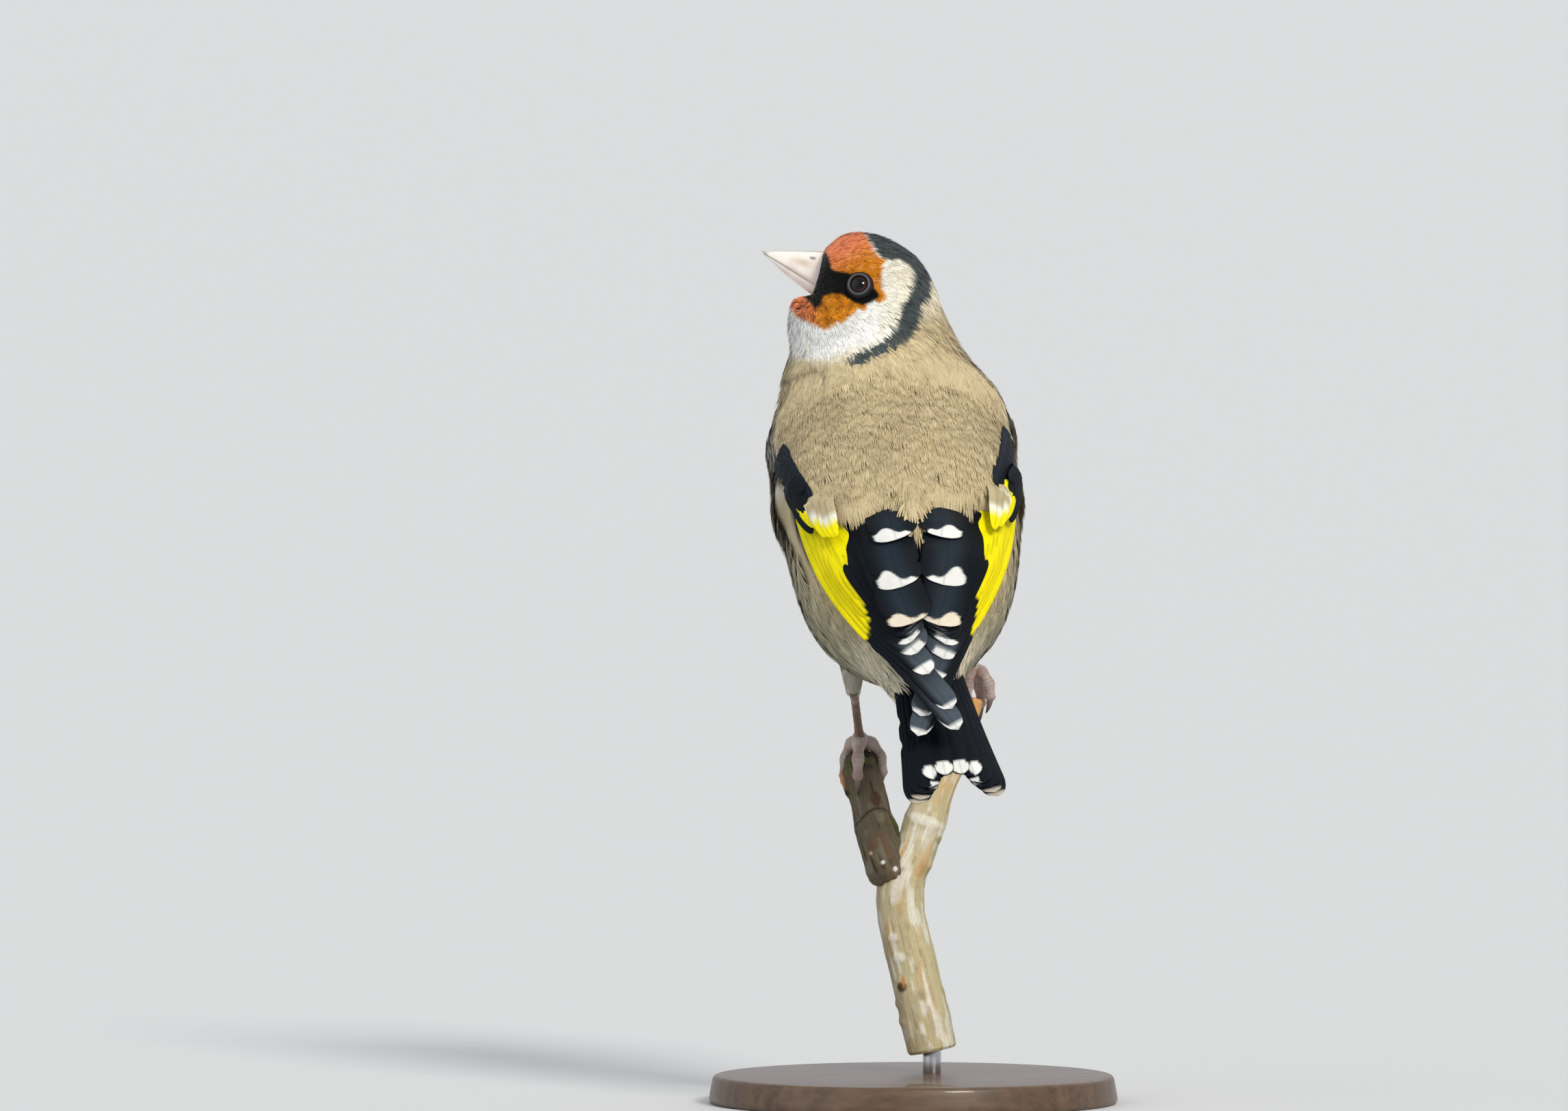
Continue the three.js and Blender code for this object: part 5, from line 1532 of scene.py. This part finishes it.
# Profiles of the stand's turned pieces: radius and height
BASE_PROFILE = [(0.02, 0), (20, 0), (35.3, 0), (35.7, 0.12), (35.92, 0.4), (36, 0.8), (35.85, 1.8),
                (35.6, 3.2), (35.42, 4.1), (35.28, 4.5), (35.0, 4.8), (34.6, 4.95), (34.1, 5.0), (20, 5.0),
                (0.02, 5.0)]
ROD_PROFILE = [(0.02, 4.7), (1.45, 4.7), (1.6, 4.85), (1.6, 7), (1.6, 9.4), (1.5, 9.6), (0.02, 9.6)]


def lathe(name, node, profile_points, columns, at, material, slot):
    """A turned piece of the stand: rings round an upright axis, closed at both ends by a tiny ring."""
    points, faces, uv = revolve(profile_points, columns, UP, np.array(at, float))
    last = len(points) - columns
    k = np.arange(columns)
    ends = np.concatenate([np.stack([k[:-2] * 0, k[2:], k[1:-1]], -1),
                           np.stack([k[:-2] * 0 + last, last + k[1:-1], last + k[2:]], -1)])
    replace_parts(new_mesh(name, points, [faces, ends], None, uv, material, slot), node)


lathe("stand_base_turned", "stand_base", BASE_PROFILE, 192, (0, 0, 0), wood_material(), "stand_wood")
lathe("stand_rod_turned", "stand_rod", ROD_PROFILE, 64, (3.3, 3, 0), steel_material(), "stand_steel")


# Floor, light and camera
PX_PER_MM = 8.3
VIEW_RAISED = math.radians(2)
VIEW_DISTANCE = 3000.0
PHOTO = (2292, 1624)
ORIGIN_AT = (1335, 1612)
SENSOR = 36
CLIP = (0.5, 400)
FLOOR_HALF = 160000
FLOOR_GREY = (0.6, 0.6, 0.595, 1)
SKY, SKY_STRENGTH = (0.90, 0.94, 1.0, 1), 0.62
# Each sun's name, direction, strength, softness in degrees and colour
SUNS = [("key", (-0.42, 0.75, -0.62), 2.3, 16, (1.0, 0.965, 0.9)),
        ("fill", (0.8, 0.5, -0.5), 0.5, 60, (0.95, 0.97, 1.0)),
        ("back", (-0.2, -0.8, -0.9), 0.5, 60, (1.0, 1.0, 1.0))]


def studio():
    corners = [(-1, -1, 0), (1, -1, 0), (1, 1, 0), (-1, 1, 0)]
    floor_points = np.array(corners, float) * FLOOR_HALF
    m = Nodes("studio_floor", roughness=0.7, specular=0.1)
    m.shader.inputs["Base Color"].default_value = FLOOR_GREY
    floor = new_mesh("studio_floor", floor_points, np.array([[0, 1, 2, 3]]), material=m.material)
    world = bpy.data.worlds.new("studio")
    bpy.context.scene.world = world
    world.use_nodes = True
    background = world.node_tree.nodes["Background"]
    background.inputs["Color"].default_value = SKY
    background.inputs["Strength"].default_value = SKY_STRENGTH
    for name, toward, power, softness, colour in SUNS:
        light = bpy.data.lights.new(name, "SUN")
        light.energy, light.angle, light.color = power, math.radians(softness), colour
        obj = bpy.data.objects.new(name, light)
        obj.rotation_euler = Vector(toward).to_track_quat("-Z", "Y").to_euler()
        bpy.context.scene.collection.objects.link(obj)
    camera = bpy.data.cameras.new("camera")
    camera.sensor_width = SENSOR
    camera.lens = SENSOR * VIEW_DISTANCE / (PHOTO[0] / PX_PER_MM)
    camera.clip_start, camera.clip_end = CLIP
    ahead = np.array([0, math.cos(VIEW_RAISED), -math.sin(VIEW_RAISED)])
    above = np.array([0, math.sin(VIEW_RAISED), math.cos(VIEW_RAISED)])
    across = (PHOTO[0] / 2 - ORIGIN_AT[0]) / PX_PER_MM
    height = (ORIGIN_AT[1] - PHOTO[1] / 2) / PX_PER_MM
    at = np.array([across, 0, 0]) + above * height - ahead * VIEW_DISTANCE
    obj = bpy.data.objects.new("camera", camera)
    obj.location = Vector(at * MM)
    obj.rotation_euler = (math.pi / 2 - VIEW_RAISED, 0, 0)
    bpy.context.scene.collection.objects.link(obj)
    bpy.context.scene.camera = obj
    bpy.context.scene.view_settings.view_transform = "Standard"


studio()
